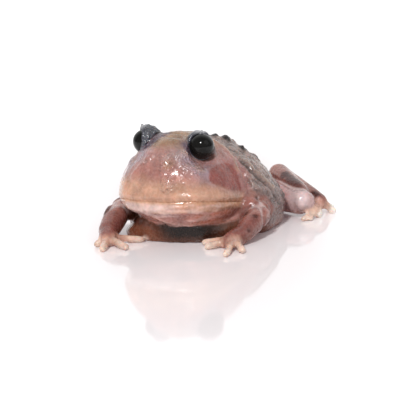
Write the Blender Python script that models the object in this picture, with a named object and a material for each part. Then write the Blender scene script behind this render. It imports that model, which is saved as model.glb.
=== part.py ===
# A young South American horned frog, sitting, life size. It faces -Y and +Z is up.
# Design sizes are in millimetres and degrees, and the meshes are brought to metres at the end.
# The origin is on the floor under the middle of the belly.

import math

import bmesh
import bpy
import numpy as np
from mathutils import Matrix, Vector

MM = 0.001
GAP = 0.3
FLOOR = 0.0

# Head and body are two lofts along one spine, measured from the snout tip. The body bends to the
# frog's left, the chest sags to its left, and the head leans there, more at the jaw than at the eyes.
SNOUT_Y = -24.0
STRAIGHT = 13.0
BODY_LENGTH = 46.0
BODY_BEND = 20.0
CHEST_SHIFT = 1.0
CHEST_AT = 15.0
CHEST_REACH = 5.0
JAW_LEAN = 5.0
EYE_LEAN = 2.0
JAW_HEIGHT = 8.0
EYE_HEIGHT = 18.0
LEAN_FADE = (14.0, 22.0)
# Each row: distance from the snout tip, half width, top, height of the widest part, underside,
# roundness of the upper half and of the lower half (2 is an ellipse, 1 a straight slope)
HEAD = (
    (0.0, 0.0, 10.4, 9.4, 8.4, 2.0, 2.0),
    (0.3, 3.5, 12.2, 9.4, 6.4, 2.0, 2.0),
    (1.1, 6.1, 14.4, 9.3, 5.4, 1.9, 2.0),
    (2.6, 8.6, 17.2, 9.2, 4.5, 1.75, 2.2),
    (5.5, 10.7, 20.3, 9.1, 3.7, 1.55, 2.5),
    (8.5, 11.8, 22.2, 9.0, 3.3, 1.5, 2.7),
    (12.0, 12.6, 22.4, 8.6, 3.1, 1.5, 2.8),
    (15.0, 13.6, 21.6, 8.0, 2.9, 1.6, 2.8),
    (17.5, 13.6, 20.0, 7.8, 2.8, 1.75, 2.5),
    (19.5, 12.0, 17.8, 7.8, 3.2, 1.9, 2.0),
    (21.0, 9.0, 14.8, 8.0, 4.2, 2.0, 2.0),
    (22.0, 4.5, 11.0, 8.0, 6.0, 2.0, 2.0),
    (22.3, 0.0, 9.0, 8.0, 7.0, 2.0, 2.0),
)
CROWN = 20.9
CROWN_SOFT = 1.2
BODY = (
    (4.0, 0.0, 4.6, 3.0, 1.6, 2.0, 2.0),
    (4.3, 4.0, 5.4, 3.0, -0.5, 2.0, 2.2),
    (5.2, 7.8, 6.5, 2.2, -2.0, 1.6, 2.4),
    (7.0, 10.6, 8.0, 2.0, -3.0, 1.3, 2.5),
    (10.0, 12.4, 10.0, 2.0, -3.5, 1.3, 2.6),
    (13.5, 13.8, 14.0, 2.6, -4.0, 1.5, 2.6),
    (17.0, 16.2, 17.4, 3.3, -4.0, 1.7, 2.7),
    (21.0, 16.9, 18.5, 3.3, -4.0, 1.65, 2.7),
    (25.0, 16.7, 18.0, 3.3, -4.0, 1.65, 2.7),
    (29.0, 15.4, 16.6, 3.3, -4.0, 1.65, 2.7),
    (33.0, 12.7, 13.6, 3.3, -4.0, 1.65, 2.6),
    (37.0, 9.9, 10.4, 3.4, -3.2, 1.7, 2.4),
    (41.0, 6.7, 8.4, 3.8, -1.6, 1.8, 2.2),
    (44.5, 3.8, 6.8, 4.2, 1.2, 2.0, 2.0),
    (46.0, 0.0, 5.2, 4.4, 3.6, 2.0, 2.0),
)
# Rings of each loft, and points round its upper and lower half
HEAD_RINGS = 33
HEAD_SIDES = (30, 16)
BODY_RINGS = 35
BODY_SIDES = (36, 12)

# Folds, ridges and hollows of the skin, alike on both sides. Each row: height, reach, then points
# (half width, distance from the snout tip, height) along its line.
HEAD_RELIEF = (
    (0.5, 1.0, (4.4, 6.2, 19.6), (3.4, 4.2, 18.2), (3.6, 3.0, 16.6), (5.6, 2.4, 14.2)),
    (-0.5, 1.5, (6.6, 5.6, 15.6), (7.6, 6.4, 13.4)),
    (0.45, 1.0, (8.0, 12.6, 18.4), (9.6, 14.2, 16.2), (11.2, 15.0, 13.2), (12.9, 14.6, 9.6)),
    (-0.3, 1.6, (9.4, 9.0, 14.6), (10.6, 10.4, 12.6)),
    (0.2, 0.7, (9.2, 5.4, 11.6), (10.6, 7.6, 10.9), (11.6, 10.6, 10.6), (12.6, 13.2, 10.2)),
    (0.25, 1.1, (0.0, 4.6, 19.2), (0.0, 4.0, 18.6)),
)
BACK_RELIEF = (
    (-0.3, 0.8, (9.6, 17.6, 14.6), (12.6, 18.4, 11.4), (15.0, 20.2, 8.0), (16.4, 22.4, 5.4)),
    (0.3, 0.9, (8.6, 19.0, 16.0), (12.0, 19.8, 12.8), (14.8, 22.0, 9.0), (16.0, 24.4, 6.2)),
    (0.25, 0.9, (3.4, 23.0, 18.4), (4.6, 30.0, 15.8), (3.8, 37.0, 10.0)),
)
# Pointed warts of the back, each as its foot, and low round ones in uneven rows
POINTED_WARTS = (
    (2.8, 0.0, 18.0), (4.9, 0.2, 17.2), (8.3, 0.3, 15.3), (-3.6, 0.6, 17.6), (-7.8, 0.0, 15.6), (0.6, 5.4, 16.4),
    (6.8, 6.2, 13.6), (-4.8, 7.0, 14.2),
)
POINT_RADIUS = 1.15
POINT_HEIGHT = 0.85
POINT_SUNK = 0.35
POINT_TIP = 0.2
WART_ROWS = 8
WARTS_ACROSS = 7
WARTS_FROM = 18.0
WARTS_TO = 43.0
WART_RISE = (0.35, 0.7)
WART_REACH = (1.0, 1.5)
WART_SEED = 11

# The mouth is a thin gap from the lip back to its corner, then down through the throat. It is
# level across the snout and falls along the cheeks.
MOUTH_FRONT_Z = 9.05
MOUTH_FALL = 0.19
MOUTH_LEVEL = 1.5
MOUTH_CORNER_AT = 15.2
MOUTH_TURN = 1.2
# Lips are low ridges along the mouth, this far from it
LIP_OFF = 0.9
LIP_RADIUS = 0.55
LIP_RISE = 0.2
LIP_SWEEP = 112.0
LIP_CENTRE_AT = 10.0

# Each eye: position, where the lid's edge lies along the way the eye looks, and the horn's tip
# seen from the eye's centre
EYE_RADIUS = 2.55
EYES = {
    "left": {"side": 1, "at": (6.1, -14.3, 18.5), "edge": -0.5, "horn": (0.3, 0.6, 3.7)},
    "right": {"side": -1, "at": (-6.1, -14.3, 19.3), "edge": 0.8, "horn": (-1.0, 0.7, 3.7)},
}
LID_THICK = 0.72
OPENING_DEPTH = 4.0
OPENING_SPREAD = 0.77
LID_TURN = 62.0
LID_UP = 14.0
RIM_RADIUS = 0.32
HORN_BASE = 0.8
HORN_TIP = 0.18
LID_WARTS = ((-0.9, 1.2, 3.05, 0.42), (-0.9, -1.4, 2.95, 0.4), (-2.1, -0.1, 2.65, 0.42), (0.4, 2.3, 2.45, 0.45))

NOSTRIL_AT = 2.6
NOSTRIL_APART = 2.65
NOSTRIL_Z = 16.5
NOSTRIL_RADIUS = 0.4
NOSTRIL_RIM = 0.8
NOSTRIL_WAY = (0.5, -0.75, 0.45)

SKIN = (0.52, 0.34, 0.31)
BACK = (0.36, 0.28, 0.26)
PALE = (0.80, 0.62, 0.50)
BLACK = (0.01, 0.01, 0.01)
WET = 0.3
GLASSY = 0.05


def through(rows, at):
    # smooth curve through the rows (monotone Hermite), one column of the result for each value
    table = np.array(rows, float)
    x, y = table[:, 0], table[:, 1:]
    slope = np.diff(y, axis=0) / np.diff(x)[:, None]
    both = slope[1:] + slope[:-1]
    safe = np.where(np.abs(both) < 1e-9, 1, both)
    tangent = np.zeros_like(y)
    tangent[1:-1] = np.where(slope[1:] * slope[:-1] > 0, 2 * slope[1:] * slope[:-1] / safe, 0)
    tangent[0], tangent[-1] = slope[0], slope[-1]
    at = np.clip(np.atleast_1d(at), x[0], x[-1])
    i = np.clip(np.searchsorted(x, at, side="right") - 1, 0, len(x) - 2)
    span = (x[i + 1] - x[i])[:, None]
    t = (at - x[i])[:, None] / span
    return (
        (2 * t**3 - 3 * t**2 + 1) * y[i]
        + (t**3 - 2 * t**2 + t) * span * tangent[i]
        + (3 * t**2 - 2 * t**3) * y[i + 1]
        + (t**3 - t**2) * span * tangent[i + 1]
    )


def spine(along):
    # plan position and heading at distances from the snout tip; the body bends to the frog's left
    along = np.atleast_1d(np.asarray(along, float))
    radius = (BODY_LENGTH - STRAIGHT) / math.radians(BODY_BEND)
    angle = np.clip(along - STRAIGHT, 0, None) / radius
    x = radius * (1 - np.cos(angle))
    y = SNOUT_Y + np.minimum(along, STRAIGHT) + radius * np.sin(angle)
    return x, y, angle


def leaning(x, along, z):
    # height after the head's lean to its left, which fades out over the neck
    fade = np.clip((LEAN_FADE[1] - along) / (LEAN_FADE[1] - LEAN_FADE[0]), 0, 1)
    up = np.clip((z - JAW_HEIGHT) / (EYE_HEIGHT - JAW_HEIGHT), 0, 1)
    slope = math.tan(math.radians(JAW_LEAN)) * (1 - up) + math.tan(math.radians(EYE_LEAN)) * up
    return z - x * slope * fade * fade * (3 - 2 * fade)


def upright(x, along, z):
    # the other way: height in the head's own section for a height over the floor
    return 2 * z - leaning(x, along, z)


def head_point(x, along, z):
    return Vector((float(x), SNOUT_Y + along, float(leaning(x, along, z))))


def mesh_object(name, points, faces):
    mesh = bpy.data.meshes.new(name)
    mesh.from_pydata([tuple(p) for p in points], [], faces)
    bm = bmesh.new()
    bm.from_mesh(mesh)
    bmesh.ops.recalc_face_normals(bm, faces=bm.faces)
    bm.to_mesh(mesh)
    bm.free()
    obj = bpy.data.objects.new(name, mesh)
    bpy.context.scene.collection.objects.link(obj)
    return obj


def skinned_rings(rings, sides):
    # quads between rings and a fan at each end; points are first pole, rings, last pole
    faces = [(0, 1 + (j + 1) % sides, 1 + j) for j in range(sides)]
    for i in range(rings - 1):
        for j in range(sides):
            a = 1 + i * sides + j
            b = 1 + i * sides + (j + 1) % sides
            faces.append((a, b, b + sides, a + sides))
    last = 1 + rings * sides
    ring = 1 + (rings - 1) * sides
    faces += [(ring + j, ring + (j + 1) % sides, last) for j in range(sides)]
    return faces


def line_distance(points, line):
    # distance from each point to the nearest place on a line of straight pieces
    nearest = np.full(points.shape[:-1], np.inf)
    line = np.array(line, float)
    for a, b in zip(line[:-1], line[1:]) if len(line) > 1 else ((line[0], line[0]),):
        way = b - a
        t = np.clip(((points - a) @ way) / max(way @ way, 1e-9), 0, 1)
        nearest = np.minimum(nearest, np.linalg.norm(points - a - t[..., None] * way, axis=-1))
    return nearest


def raised(points, rows):
    # height that rows of relief add at points (half width, distance from the snout tip, height)
    total = np.zeros(points.shape[:-1])
    mirrored = np.concatenate([np.abs(points[..., :1]), points[..., 1:]], axis=-1)
    for height, reach, *line in rows:
        total += height * np.exp(-(line_distance(mirrored, line) / reach) ** 2)
    return total


def warted(points, warts):
    total = np.zeros(points.shape[:-1])
    for x, along, z, rise, reach in warts:
        away = np.linalg.norm(points - (x, along, z), axis=-1)
        total = np.maximum(total, rise * np.clip(1 - away / (1.7 * reach), 0, 1) ** 1.3)
    return total


def round_the_section(sides):
    upper, lower = sides
    return np.concatenate([
        np.linspace(0, math.pi, upper, endpoint=False),
        np.linspace(math.pi, 2 * math.pi, lower, endpoint=False),
    ])


def section_points(sections, along, turn):
    # half width and height on each ring, before growing, leaning and bending
    width, top, mid, low, upper, lower = through(sections, along).T
    c, s = np.cos(turn), np.sin(turn)
    power = np.where(s[None, :] >= 0, upper[:, None], lower[:, None])
    across = width[:, None] * np.sign(c) * np.abs(c) ** (2 / power)
    rise = np.where(s[None, :] >= 0, (top - mid)[:, None], (mid - low)[:, None])
    z = mid[:, None] + rise * np.sign(s) * np.abs(s) ** (2 / power)
    return across, z, mid


def back_warts():
    # spread over the back in uneven rows
    random = np.random.RandomState(WART_SEED)
    warts = []
    for at in np.linspace(WARTS_FROM, WARTS_TO, WART_ROWS):
        for turn in np.linspace(0.35, math.pi - 0.35, WARTS_ACROSS):
            along = at + random.uniform(-1.3, 1.3)
            across, z, _ = section_points(BODY, np.array([along]), np.array([turn + random.uniform(-0.17, 0.17)]))
            rise, reach = random.uniform(*WART_RISE), random.uniform(*WART_REACH)
            warts.append((float(across[0, 0]), along, float(z[0, 0]), rise, reach))
    return warts


def loft(name, sections, rings, sides, relief, grow=0.0, head=False, warts=()):
    # rings lie closer together at both ends, where the loft closes
    u = np.linspace(0, 1, rings + 2)[1:-1]
    start, end = sections[0][0], sections[-1][0]
    along = start + (end - start) * (u - 0.8 * np.sin(2 * math.pi * u) / (2 * math.pi))
    turn = round_the_section(sides)
    across, z, mid = section_points(sections, along, turn)
    points = np.stack([across, np.broadcast_to(along[:, None], z.shape), z], axis=-1)
    lift = grow + raised(points, relief) + warted(points, warts)
    out = np.stack([across, z - mid[:, None]], axis=-1)
    out /= np.maximum(np.linalg.norm(out, axis=-1), 1e-6)[..., None]
    across = across + lift * out[..., 0]
    z = z + lift * out[..., 1]
    if head:
        # the crown between the eyes is flat
        z = z - CROWN_SOFT * np.logaddexp(0, (z - CROWN - grow) / CROWN_SOFT * 2) / 2
        z = leaning(across, along[:, None], z)
    if grow == 0:
        z = np.maximum(z, FLOOR)
    x, y, angle = spine(along)
    if not head:
        x = x + CHEST_SHIFT * np.exp(-(((along - CHEST_AT) / CHEST_REACH) ** 2))
    px = x[:, None] + across * np.cos(angle)[:, None]
    py = y[:, None] - across * np.sin(angle)[:, None]
    points = np.stack([px, py, z], axis=-1).reshape(-1, 3)
    ends = []
    for at, row, way in ((start, sections[0], -1), (end, sections[-1], 1)):
        ex, ey, ea = spine(at)
        ends.append((ex[0] + way * grow * math.sin(ea[0]), ey[0] + way * grow * math.cos(ea[0]), row[3]))
    return mesh_object(name, [ends[0], *points, ends[1]], skinned_rings(rings, len(turn)))


def tube(name, path, sides=12, steps=10, flat=1.0, round_ends=4):
    # path rows: x, y, z, radius; ends are rounded off; flat < 1 squashes the tube downwards
    rows = np.array(path, float)
    length = np.concatenate([[0], np.cumsum(np.linalg.norm(np.diff(rows[:, :3], axis=0), axis=1))])
    table = np.column_stack([length, rows])
    first, last = rows[0, 3], rows[-1, 3]
    total = length[-1]
    ease = (1 - np.cos(np.linspace(0, math.pi / 2, round_ends + 1)[1:]))
    start = first * ease
    inner = np.linspace(first, total - last, steps + 2)[1:-1]
    end = total - last * ease[::-1]
    at = np.concatenate([start, inner, end])
    values = through(table, at)
    radius = values[:, 3].copy()
    near = np.clip(at / first, 0, 1)
    far = np.clip((total - at) / last, 0, 1)
    radius *= np.sqrt(np.clip(1 - (1 - near) ** 2, 0, 1)) * np.sqrt(np.clip(1 - (1 - far) ** 2, 0, 1))
    step = total * 1e-3
    ahead = through(table, np.minimum(at + step, total))[:, :3]
    behind = through(table, np.maximum(at - step, 0))[:, :3]
    tangent = ahead - behind
    tangent /= np.linalg.norm(tangent, axis=1)[:, None]
    up = np.array([0.0, 0.0, 1.0])
    side = np.cross(tangent, up)
    side /= np.maximum(np.linalg.norm(side, axis=1), 1e-6)[:, None]
    rise = np.cross(side, tangent)
    turn = np.linspace(0, 2 * math.pi, sides, endpoint=False)
    ring = (
        np.cos(turn)[None, :, None] * side[:, None, :]
        + flat * np.sin(turn)[None, :, None] * rise[:, None, :]
    )
    points = values[:, None, :3] + radius[:, None, None] * ring
    tip0 = rows[0, :3]
    tip1 = rows[-1, :3]
    return mesh_object(name, [tip0, *points.reshape(-1, 3), tip1], skinned_rings(len(at), sides))


def object_of(name, bm):
    mesh = bpy.data.meshes.new(name)
    bm.to_mesh(mesh)
    bm.free()
    obj = bpy.data.objects.new(name, mesh)
    bpy.context.scene.collection.objects.link(obj)
    return obj


def ball(name, centre, radius, segments=18, rings=12):
    bm = bmesh.new()
    bmesh.ops.create_uvsphere(bm, u_segments=segments, v_segments=rings, radius=radius)
    bmesh.ops.translate(bm, verts=bm.verts, vec=centre)
    return object_of(name, bm)


def drop(*objects):
    for obj in objects:
        bpy.data.objects.remove(obj)


def freeze(obj):
    # the object's mesh becomes what its modifiers make of it
    graph = bpy.context.evaluated_depsgraph_get()
    mesh = bpy.data.meshes.new_from_object(obj.evaluated_get(graph))
    obj.modifiers.clear()
    obj.data = mesh


def join(obj, pieces):
    group = bpy.data.collections.new("pieces of " + obj.name)
    bpy.context.scene.collection.children.link(group)
    for piece in pieces:
        group.objects.link(piece)
    union = obj.modifiers.new("union", "BOOLEAN")
    union.operation = "UNION"
    union.operand_type = "COLLECTION"
    union.collection = group
    freeze(obj)
    drop(*pieces)
    bpy.data.collections.remove(group)


def carve(obj, cutter, keep_cutter=False, operation="DIFFERENCE"):
    cut = obj.modifiers.new("cut", "BOOLEAN")
    cut.operation = operation
    cut.object = cutter
    freeze(obj)
    if not keep_cutter:
        drop(cutter)


def slice_off(obj, point, normal):
    # removes what lies on the normal's side of a plane and closes the cut
    bm = bmesh.new()
    bm.from_mesh(obj.data)
    result = bmesh.ops.bisect_plane(
        bm, geom=bm.verts[:] + bm.edges[:] + bm.faces[:], dist=1e-5,
        plane_co=point, plane_no=normal, clear_outer=True,
    )
    edges = [e for e in result["geom_cut"] if isinstance(e, bmesh.types.BMEdge)]
    if edges:
        bmesh.ops.contextual_create(bm, geom=edges)
        bmesh.ops.holes_fill(bm, edges=[e for e in bm.edges if e.is_boundary], sides=0)
    bmesh.ops.recalc_face_normals(bm, faces=bm.faces)
    bm.to_mesh(obj.data)
    bm.free()


def shells(obj):
    # the closed surfaces of a mesh, as lists of faces, largest volume first
    bm = bmesh.new()
    bm.from_mesh(obj.data)
    bm.faces.ensure_lookup_table()
    seen = set()
    groups = []
    for face in bm.faces:
        if face.index in seen:
            continue
        seen.add(face.index)
        stack, group = [face], []
        while stack:
            f = stack.pop()
            group.append(f)
            for edge in f.edges:
                for other in edge.link_faces:
                    if other.index not in seen:
                        seen.add(other.index)
                        stack.append(other)
        size = 0.0
        for f in group:
            size += f.calc_center_median().dot(f.normal) * f.calc_area() / 3
        groups.append((abs(size), [f.index for f in group]))
    bm.free()
    groups.sort(key=lambda g: -g[0])
    return groups


def keep_shell(obj, which=0):
    groups = shells(obj)
    keep = set(groups[which][1])
    bm = bmesh.new()
    bm.from_mesh(obj.data)
    bm.faces.ensure_lookup_table()
    bmesh.ops.delete(bm, geom=[f for f in bm.faces if f.index not in keep], context="FACES")
    bmesh.ops.recalc_face_normals(bm, faces=bm.faces)
    bm.to_mesh(obj.data)
    bm.free()


def copy_of(obj, name):
    other = obj.copy()
    other.data = obj.data.copy()
    other.name = name
    bpy.context.scene.collection.objects.link(other)
    return other


def mouth_z(along):
    return MOUTH_FRONT_Z - MOUTH_FALL * np.clip(along - MOUTH_LEVEL, 0, None)


def lip(name, off, grow=0.0):
    # a ridge that follows the head's surface beside the mouth, from corner to corner
    turn = np.radians(np.linspace(-LIP_SWEEP, LIP_SWEEP, 33))
    near, far = np.zeros_like(turn), np.full_like(turn, 20.0)
    for _ in range(26):
        reach = (near + far) / 2
        x, along = reach * np.sin(turn), LIP_CENTRE_AT - reach * np.cos(turn)
        width, top, mid, low, upper, lower = through(HEAD, along).T
        z = upright(x, along, mouth_z(along) + off)
        power, rise = np.where(z > mid, upper, lower), np.where(z > mid, top - mid, mid - low)
        inside = (np.abs(x) / np.maximum(width, 1e-6)) ** power + (np.abs(z - mid) / rise) ** power < 1
        inside &= along > HEAD[0][0]
        near, far = np.where(inside, reach, near), np.where(inside, far, reach)
    reach = near + LIP_RISE - LIP_RADIUS
    x, along = reach * np.sin(turn), LIP_CENTRE_AT - reach * np.cos(turn)
    path = [(*p, LIP_RADIUS + grow) for p in zip(x, SNOUT_Y + along, mouth_z(along) + off)]
    return tube(name, path, sides=6, steps=20, round_ends=2)


def mouth_sheet():
    # a thin sheet across the head, turned down at the corner
    corner = MOUTH_CORNER_AT
    at = np.linspace(-2.0, corner - MOUTH_TURN, 24)
    z = mouth_z(at)
    bend = np.linspace(0, math.pi / 2, 7)[1:]
    at = np.concatenate([at, corner - MOUTH_TURN * (1 - np.sin(bend)), [corner + 0.6]])
    z = np.concatenate([z, z[-1] - MOUTH_TURN * (1 - np.cos(bend)), [-3.0]])
    path = np.stack([at, z], axis=1)
    tangent = np.gradient(path, axis=0)
    tangent /= np.linalg.norm(tangent, axis=1)[:, None]
    normal = np.stack([-tangent[:, 1], tangent[:, 0]], axis=1)
    upper = path + normal * GAP / 2
    lower = path - normal * GAP / 2
    half = 20.0
    points = []
    for side in (-half, half):
        for edge in (upper, lower):
            points += [Vector((side, SNOUT_Y + a, h)) for a, h in edge]
    n = len(path)
    faces = []
    for i in range(n - 1):
        faces.append((i, i + 1, 2 * n + i + 1, 2 * n + i))
        faces.append((n + i, 3 * n + i, 3 * n + i + 1, n + i + 1))
        faces.append((i, n + i, n + i + 1, i + 1))
        faces.append((2 * n + i, 2 * n + i + 1, 3 * n + i + 1, 3 * n + i))
    faces.append((0, 2 * n, 3 * n, n))
    faces.append((n - 1, 2 * n - 1, 4 * n - 1, 3 * n - 1))
    return mesh_object("mouth", points, faces)


def lid_axis(side):
    # the way an eye looks
    turn, up = math.radians(LID_TURN), math.radians(LID_UP)
    return Vector((side * math.sin(turn) * math.cos(up), -math.cos(turn) * math.cos(up), math.sin(up)))


def torus(name, centre, axis, major, minor, around=20, sides=5):
    u = np.linspace(0, 2 * math.pi, around, endpoint=False)
    v = np.linspace(0, 2 * math.pi, sides, endpoint=False)
    first = axis.orthogonal().normalized()
    second = axis.cross(first)
    ring = np.cos(u)[:, None] * np.array(first) + np.sin(u)[:, None] * np.array(second)
    points = (major + minor * np.cos(v))[None, :, None] * ring[:, None, :]
    points = points + minor * np.sin(v)[None, :, None] * np.array(axis) + np.array(centre)
    faces = []
    for i in range(around):
        for j in range(sides):
            k, m = (i + 1) % around, (j + 1) % sides
            faces.append((i * sides + j, k * sides + j, k * sides + m, i * sides + m))
    return mesh_object(name, points.reshape(-1, 3), faces)


def lid(word):
    # the fold of skin round an eye: a shell over its back, a rim at the shell's edge, a soft horn and warts
    eye = EYES[word]
    centre = Vector(eye["at"])
    axis = lid_axis(eye["side"])
    radius = EYE_RADIUS + GAP + LID_THICK
    shell = ball("lid_" + word, centre, radius)
    slice_off(shell, centre + axis * eye["edge"], axis)
    tip = Vector(eye["horn"])
    low = tip.normalized() * (radius - HORN_BASE)
    horn = tube(
        "horn_" + word,
        [(*(centre + low), HORN_BASE), (*(centre + low.lerp(tip, 0.65)), 0.42), (*(centre + tip), HORN_TIP)],
        sides=7, steps=3, round_ends=2,
    )
    across = math.sqrt(radius**2 - eye["edge"] ** 2) - RIM_RADIUS
    rim = torus("rim_" + word, centre + axis * eye["edge"], axis, across, RIM_RADIUS)
    pieces = [shell, horn, rim]
    for i, (x, y, z, size) in enumerate(LID_WARTS):
        pieces.append(ball(f"lid_wart_{word}_{i}", centre + Vector((eye["side"] * x, y, z)), size, 6, 4))
    return pieces


def lid_opening(word):
    # the hollow before an eye: a cone that widens the way the eye looks
    eye = EYES[word]
    axis = lid_axis(eye["side"])
    near = EYE_RADIUS + GAP
    bm = bmesh.new()
    bmesh.ops.create_cone(
        bm, cap_ends=True, segments=18, radius1=near, radius2=near + OPENING_DEPTH * OPENING_SPREAD, depth=OPENING_DEPTH
    )
    bmesh.ops.rotate(bm, verts=bm.verts, matrix=Vector((0, 0, 1)).rotation_difference(axis).to_matrix())
    bmesh.ops.translate(bm, verts=bm.verts, vec=Vector(eye["at"]) + axis * (eye["edge"] + OPENING_DEPTH / 2))
    return object_of("opening_" + word, bm)


def point(name, foot):
    # a pointed wart that leans out from the middle of the back
    foot = Vector(foot)
    way = Vector((foot.x * 0.06, 0, 1)).normalized()
    bm = bmesh.new()
    bmesh.ops.create_cone(
        bm, cap_ends=True, segments=7, radius1=POINT_RADIUS, radius2=POINT_TIP, depth=POINT_HEIGHT + POINT_SUNK
    )
    bmesh.ops.rotate(bm, verts=bm.verts, matrix=Vector((0, 0, 1)).rotation_difference(way).to_matrix())
    bmesh.ops.translate(bm, verts=bm.verts, vec=foot + way * (POINT_HEIGHT - POINT_SUNK) / 2)
    return object_of(name, bm)


def nostril(side, out, radius, name):
    way = Vector((side * NOSTRIL_WAY[0], NOSTRIL_WAY[1], NOSTRIL_WAY[2])).normalized()
    return ball(name, head_point(side * NOSTRIL_APART, NOSTRIL_AT, NOSTRIL_Z) + way * out, radius, 10, 6)


def clear_of_trunk(obj, swollen):
    carve(obj, swollen, keep_cutter=True)
    keep_shell(obj)


def miter(before, after, joint, back, ahead):
    # two neighbouring lengths of a limb meet on the plane that halves the angle at their joint
    a = (Vector(back) - Vector(joint)).normalized()
    b = (Vector(ahead) - Vector(joint)).normalized()
    normal = (a - b).normalized()
    slice_off(before, Vector(joint) + normal * GAP / 2, -normal)
    slice_off(after, Vector(joint) - normal * GAP / 2, normal)


def digits(name, root, tips, grow=0.0):
    # each digit leaves the palm or sole, dips to the floor and swells a little at its last joint
    made = []
    radius = DIGIT_RADIUS
    for i, (x, y) in enumerate(tips):
        start = Vector(root)
        tip = Vector((x, y, radius * 0.8))
        near = start.lerp(tip, 0.12)
        near.z = start.z * 0.9
        middle = start.lerp(tip, 0.5)
        middle.z = max(radius, start.z * 0.45 + 0.35)
        knuckle = start.lerp(tip, 0.76)
        knuckle.z = radius * 0.95
        places = ((near, 1.4), (middle, 1.0), (knuckle, 1.08), (tip, 0.86))
        path = [(*place, radius * size + grow) for place, size in places]
        made.append(tube(f"{name}_{i}", path, sides=8, steps=6, round_ends=2))
    return made


DIGIT_RADIUS = 0.64
LIMBS = {
    "left": {
        "shoulder": (10.0, -7.6, 6.4, 3.0), "elbow": (16.2, -10.2, 4.4, 2.4), "wrist": (15.6, -17.2, 2.2, 1.7),
        "palm": (14.4, -19.8, 1.3, 1.9),
        "fingers": ((7.7, -20.3), (9.9, -23.9), (16.3, -29.0), (18.6, -25.4)),
        "hip": (7.5, 14.0, 3.5, 3.5), "knee": (19.4, 6.4, 3.4, 2.7), "heel": (9.8, 17.2, 7.2, 2.15),
        "crease": (19.9, 6.9, 4.0), "instep": (21.3, 10.7, 2.5, 1.75),
        "toes": ((20.4, 2.6), (21.9, 3.2), (22.6, 6.2), (24.8, 11.6), (22.8, 15.4)),
    },
    "right": {
        "shoulder": (-10.0, -9.0, 6.2, 2.9), "elbow": (-13.4, -14.2, 4.6, 2.5), "wrist": (-12.3, -21.1, 2.2, 1.95),
        "palm": (-11.3, -23.4, 1.3, 1.95),
        "fingers": ((-4.8, -20.2), (-5.0, -27.4), (-9.4, -30.0), (-12.8, -26.6)),
        "hip": (-3.0, 15.4, 3.5, 3.5), "knee": (-15.4, 11.2, 3.4, 2.7), "heel": (-4.5, 20.6, 7.2, 2.15),
        "crease": (-15.8, 11.8, 4.0), "instep": (-16.2, 15.8, 2.5, 1.75),
        "toes": ((-17.2, 7.6), (-18.6, 8.8), (-20.2, 12.6), (-19.6, 17.4), (-16.8, 20.2)),
    },
}


def past(start, joint, share=0.8):
    # the end of a length, carried on past its joint by a share of the joint's radius
    way = (Vector(joint[:3]) - Vector(start[:3])).normalized()
    return (*(Vector(joint[:3]) + way * joint[3] * share), joint[3])


def bulged(first, last, share, radius):
    # path of a length of limb, thickest at a share of the way
    middle = Vector(first[:3]).lerp(Vector(last[:3]), share)
    return [first, (*middle, radius), last]


def arm(word, swollen):
    p = LIMBS[word]
    shoulder, elbow, wrist, palm = (p[k] for k in ("shoulder", "elbow", "wrist", "palm"))
    upper = tube("upper_arm_" + word, [shoulder, past(shoulder, elbow)], sides=12, steps=5)
    fore = tube("forearm_" + word, bulged(past(wrist, elbow), past(elbow, wrist, 1.1), 0.35, elbow[3] * 1.02),
                sides=12, steps=7)
    ahead = (*(Vector(palm[:3]) * 2 - Vector(wrist[:3])), 1.2)
    hand = tube("hand_" + word, [past(palm, wrist, 1.1), palm, ahead], sides=12, steps=6, flat=0.8)
    join(hand, digits("finger_" + word, palm[:3], p["fingers"]))
    keep_shell(hand)
    miter(upper, fore, elbow[:3], shoulder[:3], wrist[:3])
    miter(fore, hand, wrist[:3], elbow[:3], palm[:3])
    for obj in (upper, fore, hand):
        clear_of_trunk(obj, swollen)
    return [upper, fore, hand]


def leg(word, swollen):
    p = LIMBS[word]
    hip, knee, heel, instep = (p[k] for k in ("hip", "knee", "heel", "instep"))
    thigh = tube("thigh_" + word, [hip, past(hip, knee)], sides=14, steps=7)
    knee_end = (*past(heel, knee)[:3], 2.3)
    shank = tube("shank_" + word, bulged(knee_end, past(knee, heel), 0.35, 2.6), sides=12, steps=8)
    ahead = (*(Vector(instep[:3]) * 1.12 - Vector(heel[:3]) * 0.12), 1.1)
    foot = tube("foot_" + word, [past(instep, heel), instep, ahead], sides=12, steps=8)
    for toe in digits("clear_" + word, instep[:3], p["toes"][:3], GAP):
        carve(thigh, toe)
    keep_shell(thigh)
    miter(thigh, shank, p["crease"], hip[:3], heel[:3])
    miter(shank, foot, heel[:3], knee[:3], instep[:3])
    join(foot, digits("toe_" + word, instep[:3], p["toes"]))
    keep_shell(foot)
    for obj in (thigh, shank, foot):
        clear_of_trunk(obj, swollen)
    return [thigh, shank, foot]


def finish(obj, colour, roughness=WET):
    # sits on the floor, closed and in metres, with its own material
    keep_shell(obj)
    slice_off(obj, Vector((0, 0, FLOOR)), Vector((0, 0, -1)))
    keep_shell(obj)
    obj.data.transform(Matrix.Scale(MM, 4))
    obj.data.materials.clear()
    material = bpy.data.materials.new(obj.name)
    material.use_nodes = True
    shader = material.node_tree.nodes["Principled BSDF"]
    shader.inputs["Base Color"].default_value = (*colour, 1)
    shader.inputs["Roughness"].default_value = roughness
    obj.data.materials.append(material)
    obj.data.shade_smooth()


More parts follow.
